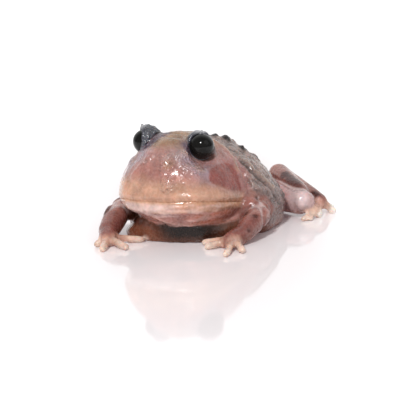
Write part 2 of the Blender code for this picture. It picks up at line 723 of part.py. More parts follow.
def main():
    for obj in list(bpy.data.objects):
        bpy.data.objects.remove(obj)
    warts = back_warts()
    grown_head = loft("grown_head", HEAD, HEAD_RINGS, HEAD_SIDES, HEAD_RELIEF, GAP, True)
    join(grown_head, [lip("more_lip", LIP_OFF, GAP), lip("more_jaw_lip", -LIP_OFF, GAP)])
    swollen = loft("swollen", BODY, BODY_RINGS, BODY_SIDES, BACK_RELIEF, GAP, warts=warts)
    join(swollen, [copy_of(grown_head, "more")])
    head = loft("head", HEAD, HEAD_RINGS, HEAD_SIDES, HEAD_RELIEF, head=True)
    torso = loft("torso", BODY, BODY_RINGS, BODY_SIDES, BACK_RELIEF, warts=warts)
    join(torso, [point(f"point_{i}", foot) for i, foot in enumerate(POINTED_WARTS)])
    carve(torso, grown_head)
    keep_shell(torso)
    pieces = [lip("upper_lip", LIP_OFF), lip("lower_lip", -LIP_OFF)]
    for side in (1, -1):
        pieces.append(nostril(side, 0.3 - NOSTRIL_RIM, NOSTRIL_RIM, "nostril_rim"))
    join(head, pieces + lid("left") + lid("right"))
    keep_shell(head)
    for word, eye in EYES.items():
        carve(head, ball("socket", Vector(eye["at"]), EYE_RADIUS + GAP))
        carve(head, lid_opening(word))
        carve(head, nostril(eye["side"], 0.25, NOSTRIL_RADIUS, "pit"))
        finish(ball("eye_" + word, Vector(eye["at"]), EYE_RADIUS), BLACK, GLASSY)
    carve(head, mouth_sheet())
    jaw = copy_of(head, "lower_jaw")
    keep_shell(head, 0)
    keep_shell(jaw, 1)
    finish(head, SKIN)
    finish(jaw, PALE)
    finish(torso, BACK)
    for word in LIMBS:
        for obj in arm(word, swollen) + leg(word, swollen):
            finish(obj, SKIN)
    drop(swollen)


main()
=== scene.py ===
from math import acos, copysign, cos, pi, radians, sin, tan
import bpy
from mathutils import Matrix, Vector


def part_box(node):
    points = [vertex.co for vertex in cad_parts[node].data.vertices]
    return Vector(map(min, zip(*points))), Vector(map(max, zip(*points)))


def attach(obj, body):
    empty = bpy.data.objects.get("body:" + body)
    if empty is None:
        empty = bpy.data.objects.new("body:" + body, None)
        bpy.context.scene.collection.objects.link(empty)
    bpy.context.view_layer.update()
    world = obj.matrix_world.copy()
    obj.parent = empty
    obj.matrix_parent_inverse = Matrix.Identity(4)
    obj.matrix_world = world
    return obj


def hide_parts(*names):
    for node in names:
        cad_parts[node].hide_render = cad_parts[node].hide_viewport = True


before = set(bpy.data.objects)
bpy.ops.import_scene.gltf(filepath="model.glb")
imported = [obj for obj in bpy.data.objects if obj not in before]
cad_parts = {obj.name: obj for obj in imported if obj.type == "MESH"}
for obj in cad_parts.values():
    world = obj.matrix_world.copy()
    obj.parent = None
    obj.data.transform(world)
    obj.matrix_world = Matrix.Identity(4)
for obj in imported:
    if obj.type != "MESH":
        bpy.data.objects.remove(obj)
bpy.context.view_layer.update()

# The looks of a young South American horned frog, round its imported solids. It faces -Y, and its
# left is +X. Shapes are worked out in millimetres and put into meshes in metres.

from types import SimpleNamespace

import bmesh
import bpy
import numpy as np
from mathutils import Matrix, Vector

mm = 0.001
bothSides = ("left", "right")
print("frame loaded")


def ramp(low, high, value):
    # 0 below low and 1 above high, with a soft S between; low may be the larger
    t = np.clip((value - low) / (high - low), 0, 1)
    return t * t * (3 - 2 * t)


def bell(value, reach, at=0):
    # 1 where the value is at, falling off on both sides as exp(-((value - at) / reach)^2)
    return np.exp(-(((value - at) / reach) ** 2))


def lengthOf(vectors):
    return np.linalg.norm(vectors, axis=-1)


def turns(count):
    # angles evenly round a ring
    return np.linspace(0, 2 * pi, count, endpoint=False)


def lookWay(turn, up):
    # the direction this far round from straight ahead of the frog, and this far up, in degrees
    turn, up = radians(turn), radians(up)
    return np.array([sin(turn) * cos(up), -cos(turn) * cos(up), sin(up)])


def through(rows, at):
    # smooth curve through the rows (monotone Hermite), one line of the result for each value
    table = np.array(rows, float)
    x, y = table[:, 0], table[:, 1:]
    slope = np.diff(y, axis=0) / np.diff(x)[:, None]
    both = slope[1:] + slope[:-1]
    safe = np.where(np.abs(both) < 1e-9, 1, both)
    tangent = np.zeros_like(y)
    tangent[1:-1] = np.where(slope[1:] * slope[:-1] > 0, 2 * slope[1:] * slope[:-1] / safe, 0)
    tangent[0], tangent[-1] = slope[0], slope[-1]
    at = np.clip(np.atleast_1d(at), x[0], x[-1])
    i = np.clip(np.searchsorted(x, at, side="right") - 1, 0, len(x) - 2)
    span = (x[i + 1] - x[i])[:, None]
    t = (at - x[i])[:, None] / span
    ends = (2 * t**3 - 3 * t**2 + 1) * y[i] + (3 * t**2 - 2 * t**3) * y[i + 1]
    return ends + span * ((t**3 - 2 * t**2 + t) * tangent[i] + (t**3 - t**2) * tangent[i + 1])


# Head and body along one spine. Each row: distance from the snout tip, half width, top, height of
# the widest part, underside, roundness of the upper and lower half
trunk = {
    "snoutY": -24, "straight": 13, "length": 46, "bend": 20,
    "chestShift": 1, "chestAt": 15, "chestReach": 5,
    "jawLean": 5, "eyeLean": 2, "jawHeight": 8, "eyeHeight": 18, "leanFade": (22, 14),
    "crown": 20.9, "crownSoft": 1.2,
    "tuck": 0.14, "tuckHeight": (8.5, 5.5), "tuckFoot": (0.8, 2.8), "tuckFrom": (3, 8), "tuckTo": (27, 21),
    "head": (
        (0, 0, 10.4, 9.4, 8.4, 2, 2), (0.3, 3.5, 12.2, 9.4, 6.4, 2, 2), (1.1, 6.1, 14.4, 9.3, 5.4, 1.9, 2),
        (2.6, 8.6, 17.2, 9.2, 4.5, 1.75, 2.2), (5.5, 10.7, 20.3, 9.1, 3.7, 1.55, 2.5),
        (8.5, 11.8, 22.2, 9, 3.3, 1.5, 2.7), (12, 12.6, 22.4, 8.6, 3.1, 1.5, 2.8),
        (15, 13.6, 21.6, 8, 2.9, 1.6, 2.8), (17.5, 13.6, 20, 7.8, 2.8, 1.75, 2.5),
        (19.5, 12, 17.8, 7.8, 3.2, 1.9, 2), (21, 9, 14.8, 8, 4.2, 2, 2), (22, 4.5, 11, 8, 6, 2, 2),
        (22.3, 0, 9, 8, 7, 2, 2),
    ),
    "body": (
        (4, 0, 4.6, 3, 1.6, 2, 2), (4.3, 4, 5.4, 3, -0.5, 2, 2.2), (5.2, 7.8, 6.5, 2.2, -2, 1.6, 2.4),
        (7, 10.6, 8, 2, -3, 1.3, 2.5), (10, 12.4, 10, 2, -3.5, 1.3, 2.6), (13.5, 13.8, 14, 2.6, -4, 1.5, 2.6),
        (17, 16.2, 17.4, 3.3, -4, 1.7, 2.7), (21, 16.9, 18.5, 3.3, -4, 1.65, 2.7),
        (25, 16.7, 18, 3.3, -4, 1.65, 2.7), (29, 15.4, 16.6, 3.3, -4, 1.65, 2.7),
        (33, 12.7, 13.6, 3.3, -4, 1.65, 2.6), (37, 9.9, 10.4, 3.4, -3.2, 1.7, 2.4),
        (41, 6.7, 8.4, 3.8, -1.6, 1.8, 2.2), (44.5, 3.8, 6.8, 4.2, 1.2, 2, 2), (46, 0, 5.2, 4.4, 3.6, 2, 2),
    ),
    "rings": 150, "sides": 160,
}
bendRadius = (trunk["length"] - trunk["straight"]) / radians(trunk["bend"])
bendY = trunk["snoutY"] + trunk["straight"]


def leanSlope(along, z):
    # how steeply the head leans to its left, at this distance from the snout and this height
    up = np.clip((z - trunk["jawHeight"]) / (trunk["eyeHeight"] - trunk["jawHeight"]), 0, 1)
    jaw, eye = (tan(radians(trunk[k])) for k in ("jawLean", "eyeLean"))
    return (jaw * (1 - up) + eye * up) * ramp(*trunk["leanFade"], along)


def chestShift(along):
    return trunk["chestShift"] * bell(along, trunk["chestReach"], trunk["chestAt"])


def place(across, along, z, isHead):
    # from the spine's own measures to the floor's: lean the head, then bend the spine to the left
    if isHead:
        z = z - across * leanSlope(along, z)
    angle = np.clip(along - trunk["straight"], 0, None) / bendRadius
    x = bendRadius * (1 - np.cos(angle)) + (0 if isHead else chestShift(along))
    y = trunk["snoutY"] + np.minimum(along, trunk["straight"]) + bendRadius * np.sin(angle)
    return np.stack([x + across * np.cos(angle), y - across * np.sin(angle), z], axis=-1)


def measured(points):
    # the other way: distance across, distance from the snout tip, and height without the lean
    x, y, z = points.T
    angle = np.where(y > bendY, np.arctan2(y - bendY, bendRadius - x), 0)
    along = np.where(y > bendY, trunk["straight"] + bendRadius * angle, y - trunk["snoutY"])
    across = np.where(y > bendY, bendRadius - np.hypot(bendRadius - x, y - bendY), x)
    return across, along, z + across * leanSlope(along, z)


def closedGrid(grid, ends):
    # a shell from rings (rings, points, 3) that close at two end points: vertices, quads, triangles
    n, m = grid.shape[:2]
    vertices = np.concatenate([[ends[0]], grid.reshape(-1, 3), [ends[1]]])
    i, k = np.arange(n - 1)[:, None] * m, np.arange(m)
    a, b = 1 + i + k, 1 + i + (k + 1) % m
    quads = np.stack([a, b, b + m, a + m], axis=-1).reshape(-1, 4)
    a, b = 1 + k, 1 + (k + 1) % m
    top = (n - 1) * m
    tris = [[0 * k, b, a], [0 * k + 1 + n * m, a + top, b + top]]
    return vertices, quads, np.concatenate([np.stack(t, axis=-1) for t in tris])


def trunkShell(rows, isHead):
    # closed rings round the spine: across = w |cos|^(2/p), up = r |sin|^(2/p). The crown is levelled
    # off softly, and the body's right lower side is tucked in beside the arm
    u = np.linspace(0, 1, trunk["rings"] + 2)[1:-1]
    start, end = rows[0][0], rows[-1][0]
    along = start + (end - start) * (u - 0.9 * np.sin(2 * pi * u) / (2 * pi))
    width, top, mid, low, upper, lower = (c[:, None] for c in through(rows, along).T)
    c, s = np.cos(turns(trunk["sides"])), np.sin(turns(trunk["sides"]))
    power = 2 / np.where(s >= 0, upper, lower)
    across = width * np.sign(c) * np.abs(c) ** power
    z = mid + np.where(s >= 0, top - mid, mid - low) * np.sign(s) * np.abs(s) ** power
    if isHead:
        soft = trunk["crownSoft"]
        z = z - soft * np.logaddexp(0, (z - trunk["crown"]) / soft * 2) / 2
    else:
        tuck = trunk["tuck"] * ramp(*trunk["tuckHeight"], z) * ramp(*trunk["tuckFoot"], z)
        tuck *= (ramp(*trunk["tuckFrom"], along) * ramp(*trunk["tuckTo"], along))[:, None]
        across = across * (1 - tuck * (across < 0))
    grid = place(across, np.broadcast_to(along[:, None], z.shape), np.maximum(z, 0), isHead)
    ends = [place(np.zeros(1), np.array([r[0]]), np.array([r[3]]), isHead)[0] for r in (rows[0], rows[-1])]
    return closedGrid(grid, ends)


def tubeShell(path, rings=44, sides=36):
    # rings square to a smooth path of (x, y, z, radius) rows, closed by round ends: near an end of
    # radius r the ring's radius is r sqrt(1 - (1 - t)^2), t from 0 at the tip to 1 a radius in
    rows = np.array(path, float)
    length = np.concatenate([[0], np.cumsum(lengthOf(np.diff(rows[:, :3], axis=0)))])
    table = np.column_stack([length, rows])
    first, last, total = rows[0, 3], rows[-1, 3], length[-1]
    ease = 1 - np.cos(np.linspace(0, pi / 2, 9)[1:])
    inner = np.linspace(first, total - last, rings + 2)[1:-1]
    at = np.concatenate([first * ease, inner, total - last * ease[::-1]])
    values = through(table, at)
    near, far = np.clip(at / first, 0, 1), np.clip((total - at) / last, 0, 1)
    radius = values[:, 3] * np.sqrt(1 - (1 - near) ** 2) * np.sqrt(1 - (1 - far) ** 2)
    step = total * 1e-3
    way = (through(table, np.minimum(at + step, total)) - through(table, np.maximum(at - step, 0)))[:, :3]
    way /= lengthOf(way)[:, None]
    side = np.cross(way, (0, 0, 1.0))
    side /= np.maximum(lengthOf(side), 1e-6)[:, None]
    turn = turns(sides)[None, :, None]
    ring = np.cos(turn) * side[:, None] + np.sin(turn) * np.cross(side, way)[:, None]
    return closedGrid(values[:, None, :3] + radius[:, None, None] * ring, (rows[0, :3], rows[-1, :3]))


def turnedShell(profile, centre, axis, sides=72):
    # a profile of (distance along the axis, radius) rows turned about an axis
    first = np.cross(axis, (0.3, 0.2, 0.9))
    first /= lengthOf(first)
    turn = turns(sides)[:, None]
    ring = np.cos(turn) * first + np.sin(turn) * np.cross(axis, first)
    along, radius = profile.T
    grid = centre + along[1:-1, None, None] * axis + radius[1:-1, None, None] * ring
    return closedGrid(grid, (centre + along[0] * axis, centre + along[-1] * axis))


def linked(piece):
    bpy.context.scene.collection.objects.link(piece)
    return piece


def newObject(name, vertices, faces):
    mesh = bpy.data.meshes.new(name)
    mesh.from_pydata(vertices.tolist(), [], faces)
    mesh.validate()
    mesh.shade_smooth()
    return linked(bpy.data.objects.new(name, mesh))


def meshPiece(name, shells, onFloor=False):
    # one object from shells in millimetres; what would reach below the floor is pressed flat on it
    starts = np.cumsum([0] + [len(v) for v, _, _ in shells])
    moved = [(v, quads + n, tris + n) for (v, quads, tris), n in zip(shells, starts)]
    vertices, quads, tris = (np.concatenate(each) for each in zip(*moved))
    if onFloor:
        vertices[:, 2] = np.maximum(vertices[:, 2], 0)
    return newObject(name, vertices * mm, quads.tolist() + tris.tolist())


# Eyes take their place and size from the frame. turn and up say which way they look, edge how far
# the lid's edge lies that way, horn where the horn's tip is and orbit how far the dark skin round
# the eye fades. opening is the slope at which the skin round a ball steps back
eyes = {
    "left": {"side": 1, "turn": 52, "edge": -0.5, "horn": (0.1, 0.4, 3.3), "orbit": (4.6, 3.4)},
    "right": {"side": -1, "turn": 62, "edge": 0.8, "horn": (-1.0, 0.7, 3.5), "orbit": (5.3, 4.1)},
    "up": 14, "lidOut": 0.92, "lidEdge": 0.3, "rim": 0.15, "rimAbove": 2.4,
    "opening": 1.3, "openingReach": (6.4, 5.6), "openingSoft": 0.14,
    "hornFoot": 0.55, "hornBow": 0.12, "hornRadius": (1.1, 0.18), "cornea": 0.03,
}
for word in bothSides:
    eye = eyes[word]
    low, high = (np.array(c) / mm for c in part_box("eye_" + word))
    eye["centre"] = (low + high) / 2
    eye["radius"] = float((high - low)[2]) / 2
    eye["axis"] = lookWay(eye["side"] * eye["turn"], eyes["up"])
    eye["above"] = np.array([0, 0, 1.0]) - eye["axis"][2] * eye["axis"]  # up the eye's face
    eye["above"] /= lengthOf(eye["above"])
    eye["ahead"] = np.cross(eye["axis"], eye["above"]) * eye["side"]
eyePair = [eyes[word] for word in bothSides]


def lidCup(eye):
    # the lid's body: a ball behind the eye, cut square to the way the eye looks, with a round edge
    outer, edge, soft = eye["radius"] + eyes["lidOut"], eye["edge"], eyes["lidEdge"]
    back = np.linspace(pi, acos((edge - soft) / outer), 40)
    arc = np.column_stack([outer * np.cos(back), outer * np.sin(back)])
    bend = np.linspace(0, pi / 2, 8)[1:]
    rim = np.column_stack([edge - soft + soft * np.sin(bend), arc[-1, 1] - soft + soft * np.cos(bend)])
    face = np.column_stack([np.full(12, edge), np.linspace(rim[-1, 1], 0, 13)[1:]])
    return turnedShell(np.concatenate([arc, rim, face]), eye["centre"], eye["axis"])


# Limbs: the joints with their radii (shoulder, elbow, wrist, palm, then hip, knee, heel, instep), and
# the tips of the digits on the floor
limbs = {
    "left": {
        "joints": (
            (10, -7.6, 6.4, 3), (16.2, -10.2, 4.4, 2.4), (15.6, -17.2, 2.2, 1.7), (14.4, -19.8, 1.3, 1.9),
            (7.5, 14, 3.5, 3.5), (19.4, 6.4, 3.4, 2.7), (9.8, 17.2, 7.2, 2.15), (21.3, 10.7, 2.5, 1.75),
        ),
        "fingers": ((7.7, -20.3), (9.9, -23.9), (16.3, -29), (18.6, -25.4)),
        "toes": ((20.4, 2.6), (21.9, 3.2), (22.6, 6.2), (24.8, 11.6), (22.8, 15.4)),
    },
    "right": {
        "joints": (
            (-10, -9, 6.2, 2.9), (-13.4, -14.2, 4.6, 2.5), (-12.3, -21.1, 2.2, 1.95),
            (-11.3, -23.4, 1.3, 1.95), (-3, 15.4, 3.5, 3.5), (-15.4, 11.2, 3.4, 2.7),
            (-4.5, 20.6, 7.2, 2.15), (-16.2, 15.8, 2.5, 1.75),
        ),
        "fingers": ((-4.8, -20.2), (-5, -27.4), (-9.4, -30), (-12.8, -26.6)),
        "toes": ((-17.2, 7.6), (-18.6, 8.8), (-20.2, 12.6), (-19.6, 17.4), (-16.8, 20.2)),
    },
    "digit": 0.64, "digitRadii": (1.4, 1, 1.08, 0.86), "digitJoints": (0.12, 0.5, 0.76),
    "kneeRadius": 2.3, "calfRadius": 2.6,
}


def past(start, joint, share=0.8):
    # the end of a length, carried on past its joint by a share of the joint's radius
    way = np.subtract(joint[:3], start[:3])
    return (*(np.array(joint[:3]) + way / lengthOf(way) * joint[3] * share), joint[3])


def between(first, last, share, radius):
    return (*(np.array(first[:3]) * (1 - share) + np.array(last[:3]) * share), radius)


def digitPaths(root, tips):
    # each digit leaves the palm or sole, dips to the floor and swells a little at its last joint
    size = limbs["digit"]
    start = np.array(root[:3])
    paths = []
    for x, y in tips:
        tip = np.array([x, y, size * 0.8])
        near, middle, knuckle = (start + (tip - start) * share for share in limbs["digitJoints"])
        near[2], middle[2], knuckle[2] = start[2] * 0.9, max(size, start[2] * 0.45 + 0.35), size * 0.95
        paths.append([(*p, size * r) for p, r in zip((near, middle, knuckle, tip), limbs["digitRadii"])])
    return paths


def limbPaths(word):
    # centre lines of one side's arm and leg, and of its digits
    shoulder, elbow, wrist, palm, hip, knee, heel, instep = limbs[word]["joints"]
    elbowEnd, kneeEnd = past(wrist, elbow), (*past(heel, knee)[:3], limbs["kneeRadius"])
    lengths = [
        [shoulder, past(shoulder, elbow)],
        [elbowEnd, between(elbowEnd, wrist, 0.35, elbow[3] * 1.02), past(elbow, wrist, 1.1)],
        [past(palm, wrist, 1.1), palm, between(wrist, palm, 2, 1.2)],
        [hip, past(hip, knee)],
        [kneeEnd, between(kneeEnd, heel, 0.35, limbs["calfRadius"]), past(knee, heel)],
        [past(instep, heel), instep, between(heel, instep, 1.12, 1.1)],
    ]
    return lengths, digitPaths(palm, limbs[word]["fingers"]) + digitPaths(instep, limbs[word]["toes"])


def rawSkin():
    shells = [trunkShell(trunk["head"], True), trunkShell(trunk["body"], False)]
    shells += [lidCup(eye) for eye in eyePair]
    for word in bothSides:
        lengths, digits = limbPaths(word)
        shells += [tubeShell(path) for path in lengths]
        shells += [tubeShell(path, 24, 24) for path in digits]
    return meshPiece("skin", shells, True)


def withModifiers(piece):
    # the piece's mesh becomes what its modifiers make of it
    graph = bpy.context.evaluated_depsgraph_get()
    mesh = bpy.data.meshes.new_from_object(piece.evaluated_get(graph))
    piece.modifiers.clear()
    piece.data = mesh


def keepLargest(piece):
    # each point takes the lowest number among itself and its neighbours until nothing changes, so
    # that a number stands for one connected part. All parts but the one with most points go
    edges = np.empty(len(piece.data.edges) * 2, np.int32)
    piece.data.edges.foreach_get("vertices", edges)
    first, second = edges.reshape(-1, 2).T
    number = np.arange(len(piece.data.vertices))
    while True:
        lowest = number.copy()
        np.minimum.at(lowest, first, number[second])
        np.minimum.at(lowest, second, number[first])
        lowest = lowest[lowest]
        if (lowest == number).all():
            break
        number = lowest
    stray = number != np.bincount(number).argmax()
    work = bmesh.new()
    work.from_mesh(piece.data)
    bmesh.ops.delete(work, geom=[v for v in work.verts if stray[v.index]], context="VERTS")
    work.to_mesh(piece.data)
    work.free()
    print("stray points removed:", stray.sum())


skinMake = {"voxel": 0.3, "smoothing": 9, "smoothFactor": 0.5}
skin = rawSkin()
fuse = skin.modifiers.new("fuse", "REMESH")
fuse.mode = "VOXEL"
fuse.voxel_size = skinMake["voxel"] * mm
fuse.use_smooth_shade = True
relax = skin.modifiers.new("relax", "SMOOTH")
relax.factor = skinMake["smoothFactor"]
relax.iterations = skinMake["smoothing"]
withModifiers(skin)
keepLargest(skin)
print("skin fused:", len(skin.data.vertices), "points")


def pointsOf(piece, what="co"):
    # the points' places in millimetres, or their normals
    flat = np.empty(len(piece.data.vertices) * 3)
    piece.data.vertices.foreach_get(what, flat)
    return flat.reshape(-1, 3) / (mm if what == "co" else 1)


def movePoints(piece, points):
    piece.data.vertices.foreach_set("co", (points * mm).ravel())
    piece.data.update()


def noise(points, size, seed):
    # value noise: random numbers on a lattice of this size, blended with smooth weights, -1 to 1
    table = np.random.RandomState(seed).uniform(-1, 1, (32, 32, 32))
    i = np.floor(points / size).astype(int)
    f = ramp(0, 1, points / size - i)
    total = np.zeros(len(points))
    for corner in np.ndindex(2, 2, 2):
        j = (i + corner) % 32
        total += np.prod(np.where(corner, f, 1 - f), axis=1) * table[tuple(j.T)]
    return total


def grains(points, size, seed):
    # rounded grains: 1 at the middle of each, 0 between them, one grain in each cell of this size
    random = np.random.RandomState(seed).uniform(0.1, 0.9, (24, 24, 24, 3))
    p = points / size
    nearest = np.full(len(points), 9.0)
    for offset in np.ndindex(3, 3, 3):
        cell = np.floor(p).astype(int) + offset - 1
        nearest = np.minimum(nearest, lengthOf(p - cell - random[tuple((cell % 24).T)]))
    return np.clip(1 - nearest / 0.75, 0, 1)


def tubeDistance(points, path):
    # how far each point lies outside a tube of straight lengths and changing radius
    nearest = np.full(len(points), np.inf)
    rows = np.array(path, float)
    for a, b in zip(rows[:-1], rows[1:]):
        way = b[:3] - a[:3]
        t = np.clip(((points - a[:3]) @ way) / max(way @ way, 1e-9), 0, 1)
        away = lengthOf(points - a[:3] - t[:, None] * way) - (a[3] + t * (b[3] - a[3]))
        nearest = np.minimum(nearest, away)
    return nearest


def lineDistance(points, line):
    return tubeDistance(points, [(*p, 0) for p in line])


def nearLine(points, line, reach):
    return bell(lineDistance(points, line), reach)


def sectionDistance(rows, across, along, z):
    # roughly how far outside a trunk shell: the ring's (|x|/w)^p + (|z|/r)^p, as a distance
    width, top, mid, low, upper, lower = through(rows, along).T
    power, rise = np.where(z > mid, upper, lower), np.where(z > mid, top - mid, mid - low)
    width, rise = np.maximum(width, 0.3), np.maximum(rise, 0.3)
    value = (np.abs(across) / width) ** power + (np.abs(z - mid) / rise) ** power
    away = (value ** (1 / power) - 1) * np.minimum(width, rise)
    return away + np.clip(rows[0][0] - along, 0, None) + np.clip(along - rows[-1][0], 0, None)


def insideOutline(u, v, outline, soft):
    # 1 inside a closed outline and 0 outside, soft at its edge
    inside = np.zeros(len(u), bool)
    closed = [*outline, outline[0]]
    for (u0, v0), (u1, v1) in zip(closed[:-1], closed[1:]):
        crosses = (v0 > v) != (v1 > v)
        inside ^= crosses & (u < (u1 - u0) * (v - v0) / (v1 - v0 if v1 != v0 else 1e-9) + u0)
    away = lineDistance(np.column_stack([u, v, 0 * u]), [(*p, 0) for p in closed])
    return ramp(soft, -soft, np.where(inside, -away, away))


# The mouth's height over the floor and its reach, and the heights over it of the lips' crests
mouth = {
    "frontZ": 9.05, "fall": 0.19, "level": 1.5, "cornerAt": 14.2,
    "upperCrest": 1.0, "lowerCrest": -0.95, "jawEdge": -2.2, "jawEdgeRise": 0.09,
    "lipAt": (0, 2.5, 5.7, 9.3, 13.6, 16), "lipTop": (12.9, 12.8, 11.6, 10.3, 9.2, 8.4),
}
# Folds, ridges and hollows of the skin in the spine's own measures. Each line: height, reach, side
# (0 for both), then points (across, along, height)
folds = (
    (0.22, 0.6, 1, (4.7, 5.3, 18.3), (3.9, 4.1, 17.9), (2.4, 3.5, 17.9), (1.8, 3, 17.4)),
    (0.24, 0.8, 1, (1.4, 2.4, 16.6), (1.6, 1.8, 15.7), (2, 1.2, 14.2), (2.4, 0.6, 12.6)),
    (0.34, 1.1, 1, (1.6, 0.7, 11.3), (3, 0.9, 11)),
    (0.32, 0.6, -1, (-4.6, 5.3, 18.6), (-1.8, 3.2, 17.8), (-3.4, 2.4, 16.2), (-4.6, 2, 14.8),
     (-5.7, 1.8, 13.3)),
    (-0.35, 1.3, 0, (5.6, 4.8, 16.6), (6.6, 5.2, 15.2), (7.4, 5.8, 13.8)),
    (0.2, 1.2, 0, (7.9, 5.4, 14.6), (8.6, 7.4, 15.8)),
    (0.4, 0.8, 0, (6.3, 15.6, 18.8), (7.7, 16.2, 17.6), (8.8, 17, 16.4), (10.3, 16.1, 15.2),
     (11.5, 15, 14), (12.5, 14.6, 12.3), (13.4, 14.2, 10.2)),
    (-0.5, 0.55, 0, (8.2, 17.9, 16.6), (9.8, 17.5, 15.6), (11.6, 16.2, 14.1), (12.9, 16, 11.7),
     (13.6, 16.6, 9.5)),
    (0.25, 1, 0, (0.4, 4.6, 19.4), (0.4, 5.4, 20)),
    (-0.24, 0.4, 1, (-2.4, 8.1, 20.8), (0.4, 7.6, 20.9), (2.6, 8.2, 20.7)),
    (0.22, 0.45, 1, (-1.6, 9, 20.9), (1.8, 9.2, 20.8)),
    (-0.26, 0.4, 1, (-2, 10, 20.9), (0.8, 10.6, 20.9), (3, 9.8, 20.6)),
    (0.2, 0.5, 1, (-1, 11.6, 20.9), (2.4, 11.8, 20.7)),
    (-0.22, 0.4, 1, (-1.8, 12.8, 20.8), (1.2, 13, 20.8)),
    (-0.32, 0.5, 0, (10.6, 19, 14.6), (12.6, 18.9, 12.3), (13.9, 19.5, 10.9), (14.9, 20.8, 9.4),
     (15.9, 22, 7.7), (16.4, 23.4, 5.8)),
    (0.28, 0.7, 0, (10, 20.2, 15.2), (12.4, 20.3, 12.8), (14.4, 21.6, 10.4), (15.6, 23.4, 8)),
    (-0.28, 0.5, 0, (13.6, 25, 12), (15.4, 25.6, 9), (16.4, 27, 5.6)),
    (-0.24, 0.5, 0, (12.6, 17.6, 8.6), (14.2, 18.8, 6.6), (15.6, 20.6, 4.6)),
    (0.25, 0.9, 0, (3.4, 23, 18.4), (4.6, 30, 15.8), (3.8, 37, 10)),
)
# Short upright creases at the corners of the mouth, and wrinkles under the jaw
creases = (
    (-0.3, 0.24, 0, (13.5, 12.6, 8.6), (13.3, 12.5, 6.9)),
    (-0.3, 0.24, 0, (13.7, 13.4, 8.4), (13.5, 13.3, 6.6)),
    (0.22, 0.28, 0, (13.6, 13, 8.6), (13.4, 12.9, 6.8)),
    (0.2, 0.34, 1, (-2.6, 0.2, 7.2), (-0.6, 0.2, 7.6)),
    (0.22, 0.34, 1, (1, 0.2, 7.8), (4, 0.3, 8.4), (6.2, 1, 8.5)),
    (-0.22, 0.3, 0, (1, 0.6, 7), (3.6, 0.8, 6.4), (5.6, 1.7, 6.5)),
    (-0.2, 0.3, 0, (3.6, 1.6, 5.4), (6.2, 2.4, 5.6), (8.4, 4.2, 5.3)),
    (-0.18, 0.3, 0, (6.6, 3.4, 4.6), (8.8, 5.2, 4.7), (10.4, 7.6, 4.8)),
)
jawRim = (
    (-7.1, 2, 6.8), (-3.9, 0.8, 6.6), (-1.8, 0.8, 6), (-0.4, 1.1, 5.4), (0.8, 2.1, 4.8), (2.5, 3, 4.5),
    (6, 4.7, 4), (7.8, 5.5, 3.9), (9.4, 6.7, 4), (10.8, 8.5, 4.2), (12.1, 10.5, 4.5),
)
# The patch over each ear, in distance from the snout tip and height, and the pale line below it
earPatch = (
    (5.8, 13.7), (6.8, 14.7), (8.4, 15.2), (10.9, 15.4), (13.1, 15.2), (14, 14.7), (14.2, 13.6), (13.8, 12.4),
    (13.5, 10.8), (13.2, 10.1), (11.4, 10.4), (9.1, 10.9), (7.2, 11.8), (5.9, 12.5), (5.6, 13.2),
)
earRim = ((11, 6.4, 12), (12.2, 9.1, 10.6), (13, 11.6, 10), (13.7, 13.4, 9.6), (13.7, 14.4, 10.6))
# Wet beads on the snout and beside the eye: across, along, height, then how high and how wide
beads = (
    (2.2, 0.4, 12, 0.3, 0.46), (2.9, 0.6, 12.2, 0.26, 0.44), (2.6, 0.7, 12.9, 0.14, 0.34),
    (1.4, 0.5, 12.8, 0.1, 0.3), (2.9, 0.8, 13.4, 0.12, 0.3), (2.3, 1.1, 13.9, 0.12, 0.32),
    (1.5, 1.2, 14.3, 0.12, 0.3), (1.3, 1.4, 14.9, 0.12, 0.3), (1.8, 1.8, 15.7, 0.1, 0.3),
    (1.2, 2.3, 16.5, 0.08, 0.3), (-1.8, 0, 9.9, 0.16, 0.5), (3, 0.1, 10.3, 0.08, 0.4),
    (6.8, 1.3, 10.4, 0.08, 0.4), (5.1, 5.7, 18.1, 0.14, 0.34), (4.8, 4.5, 17.5, 0.16, 0.34),
    (5.9, 5.2, 16.7, 0.18, 0.36), (5.6, 3.8, 16, 0.16, 0.34), (6.8, 5.4, 15.7, 0.18, 0.36),
    (7, 4.5, 15, 0.18, 0.36), (6.3, 4.4, 15.5, 0.14, 0.3),
)
nostrils = {"across": 2.65, "along": 2.6, "z": 16.5, "radius": 0.28, "depth": 0.3}
warts = {
    "pointed": ((2.8, 0, 18), (4.9, 0.2, 17.2), (8.3, 0.3, 15.3), (-3.6, 0.6, 17.6), (-7.8, 0, 15.6),
                (0.6, 5.4, 16.4), (6.8, 6.2, 13.6), (-4.8, 7, 14.2)),
    "pointRise": 0.8, "pointReach": 1.2, "rows": 8, "across": 7, "from": 18, "to": 43,
    "rise": (0.35, 0.7), "reach": (1, 1.5), "seed": 11,
}
# How far each thing lifts the skin or sinks it in
relief = {
    "upperLip": 0.27, "lowerLip": 0.24, "underJaw": -0.16, "mouthLine": -0.14, "bends": -0.5, "joins": -0.12,
    "digits": 0.1, "jawRim": 0.22, "nostrilRim": 0.06, "swells": 0.1, "smallSwells": 0.04, "grains": 0.42,
    "lidGrains": 0.2, "headGrain": 0.04, "jawWrinkles": 0.2,
}


def mouthZ(along):
    # height of the mouth over the floor: level round the snout, falling along the cheeks
    return mouth["frontZ"] - mouth["fall"] * np.clip(along - mouth["level"], 0, None)


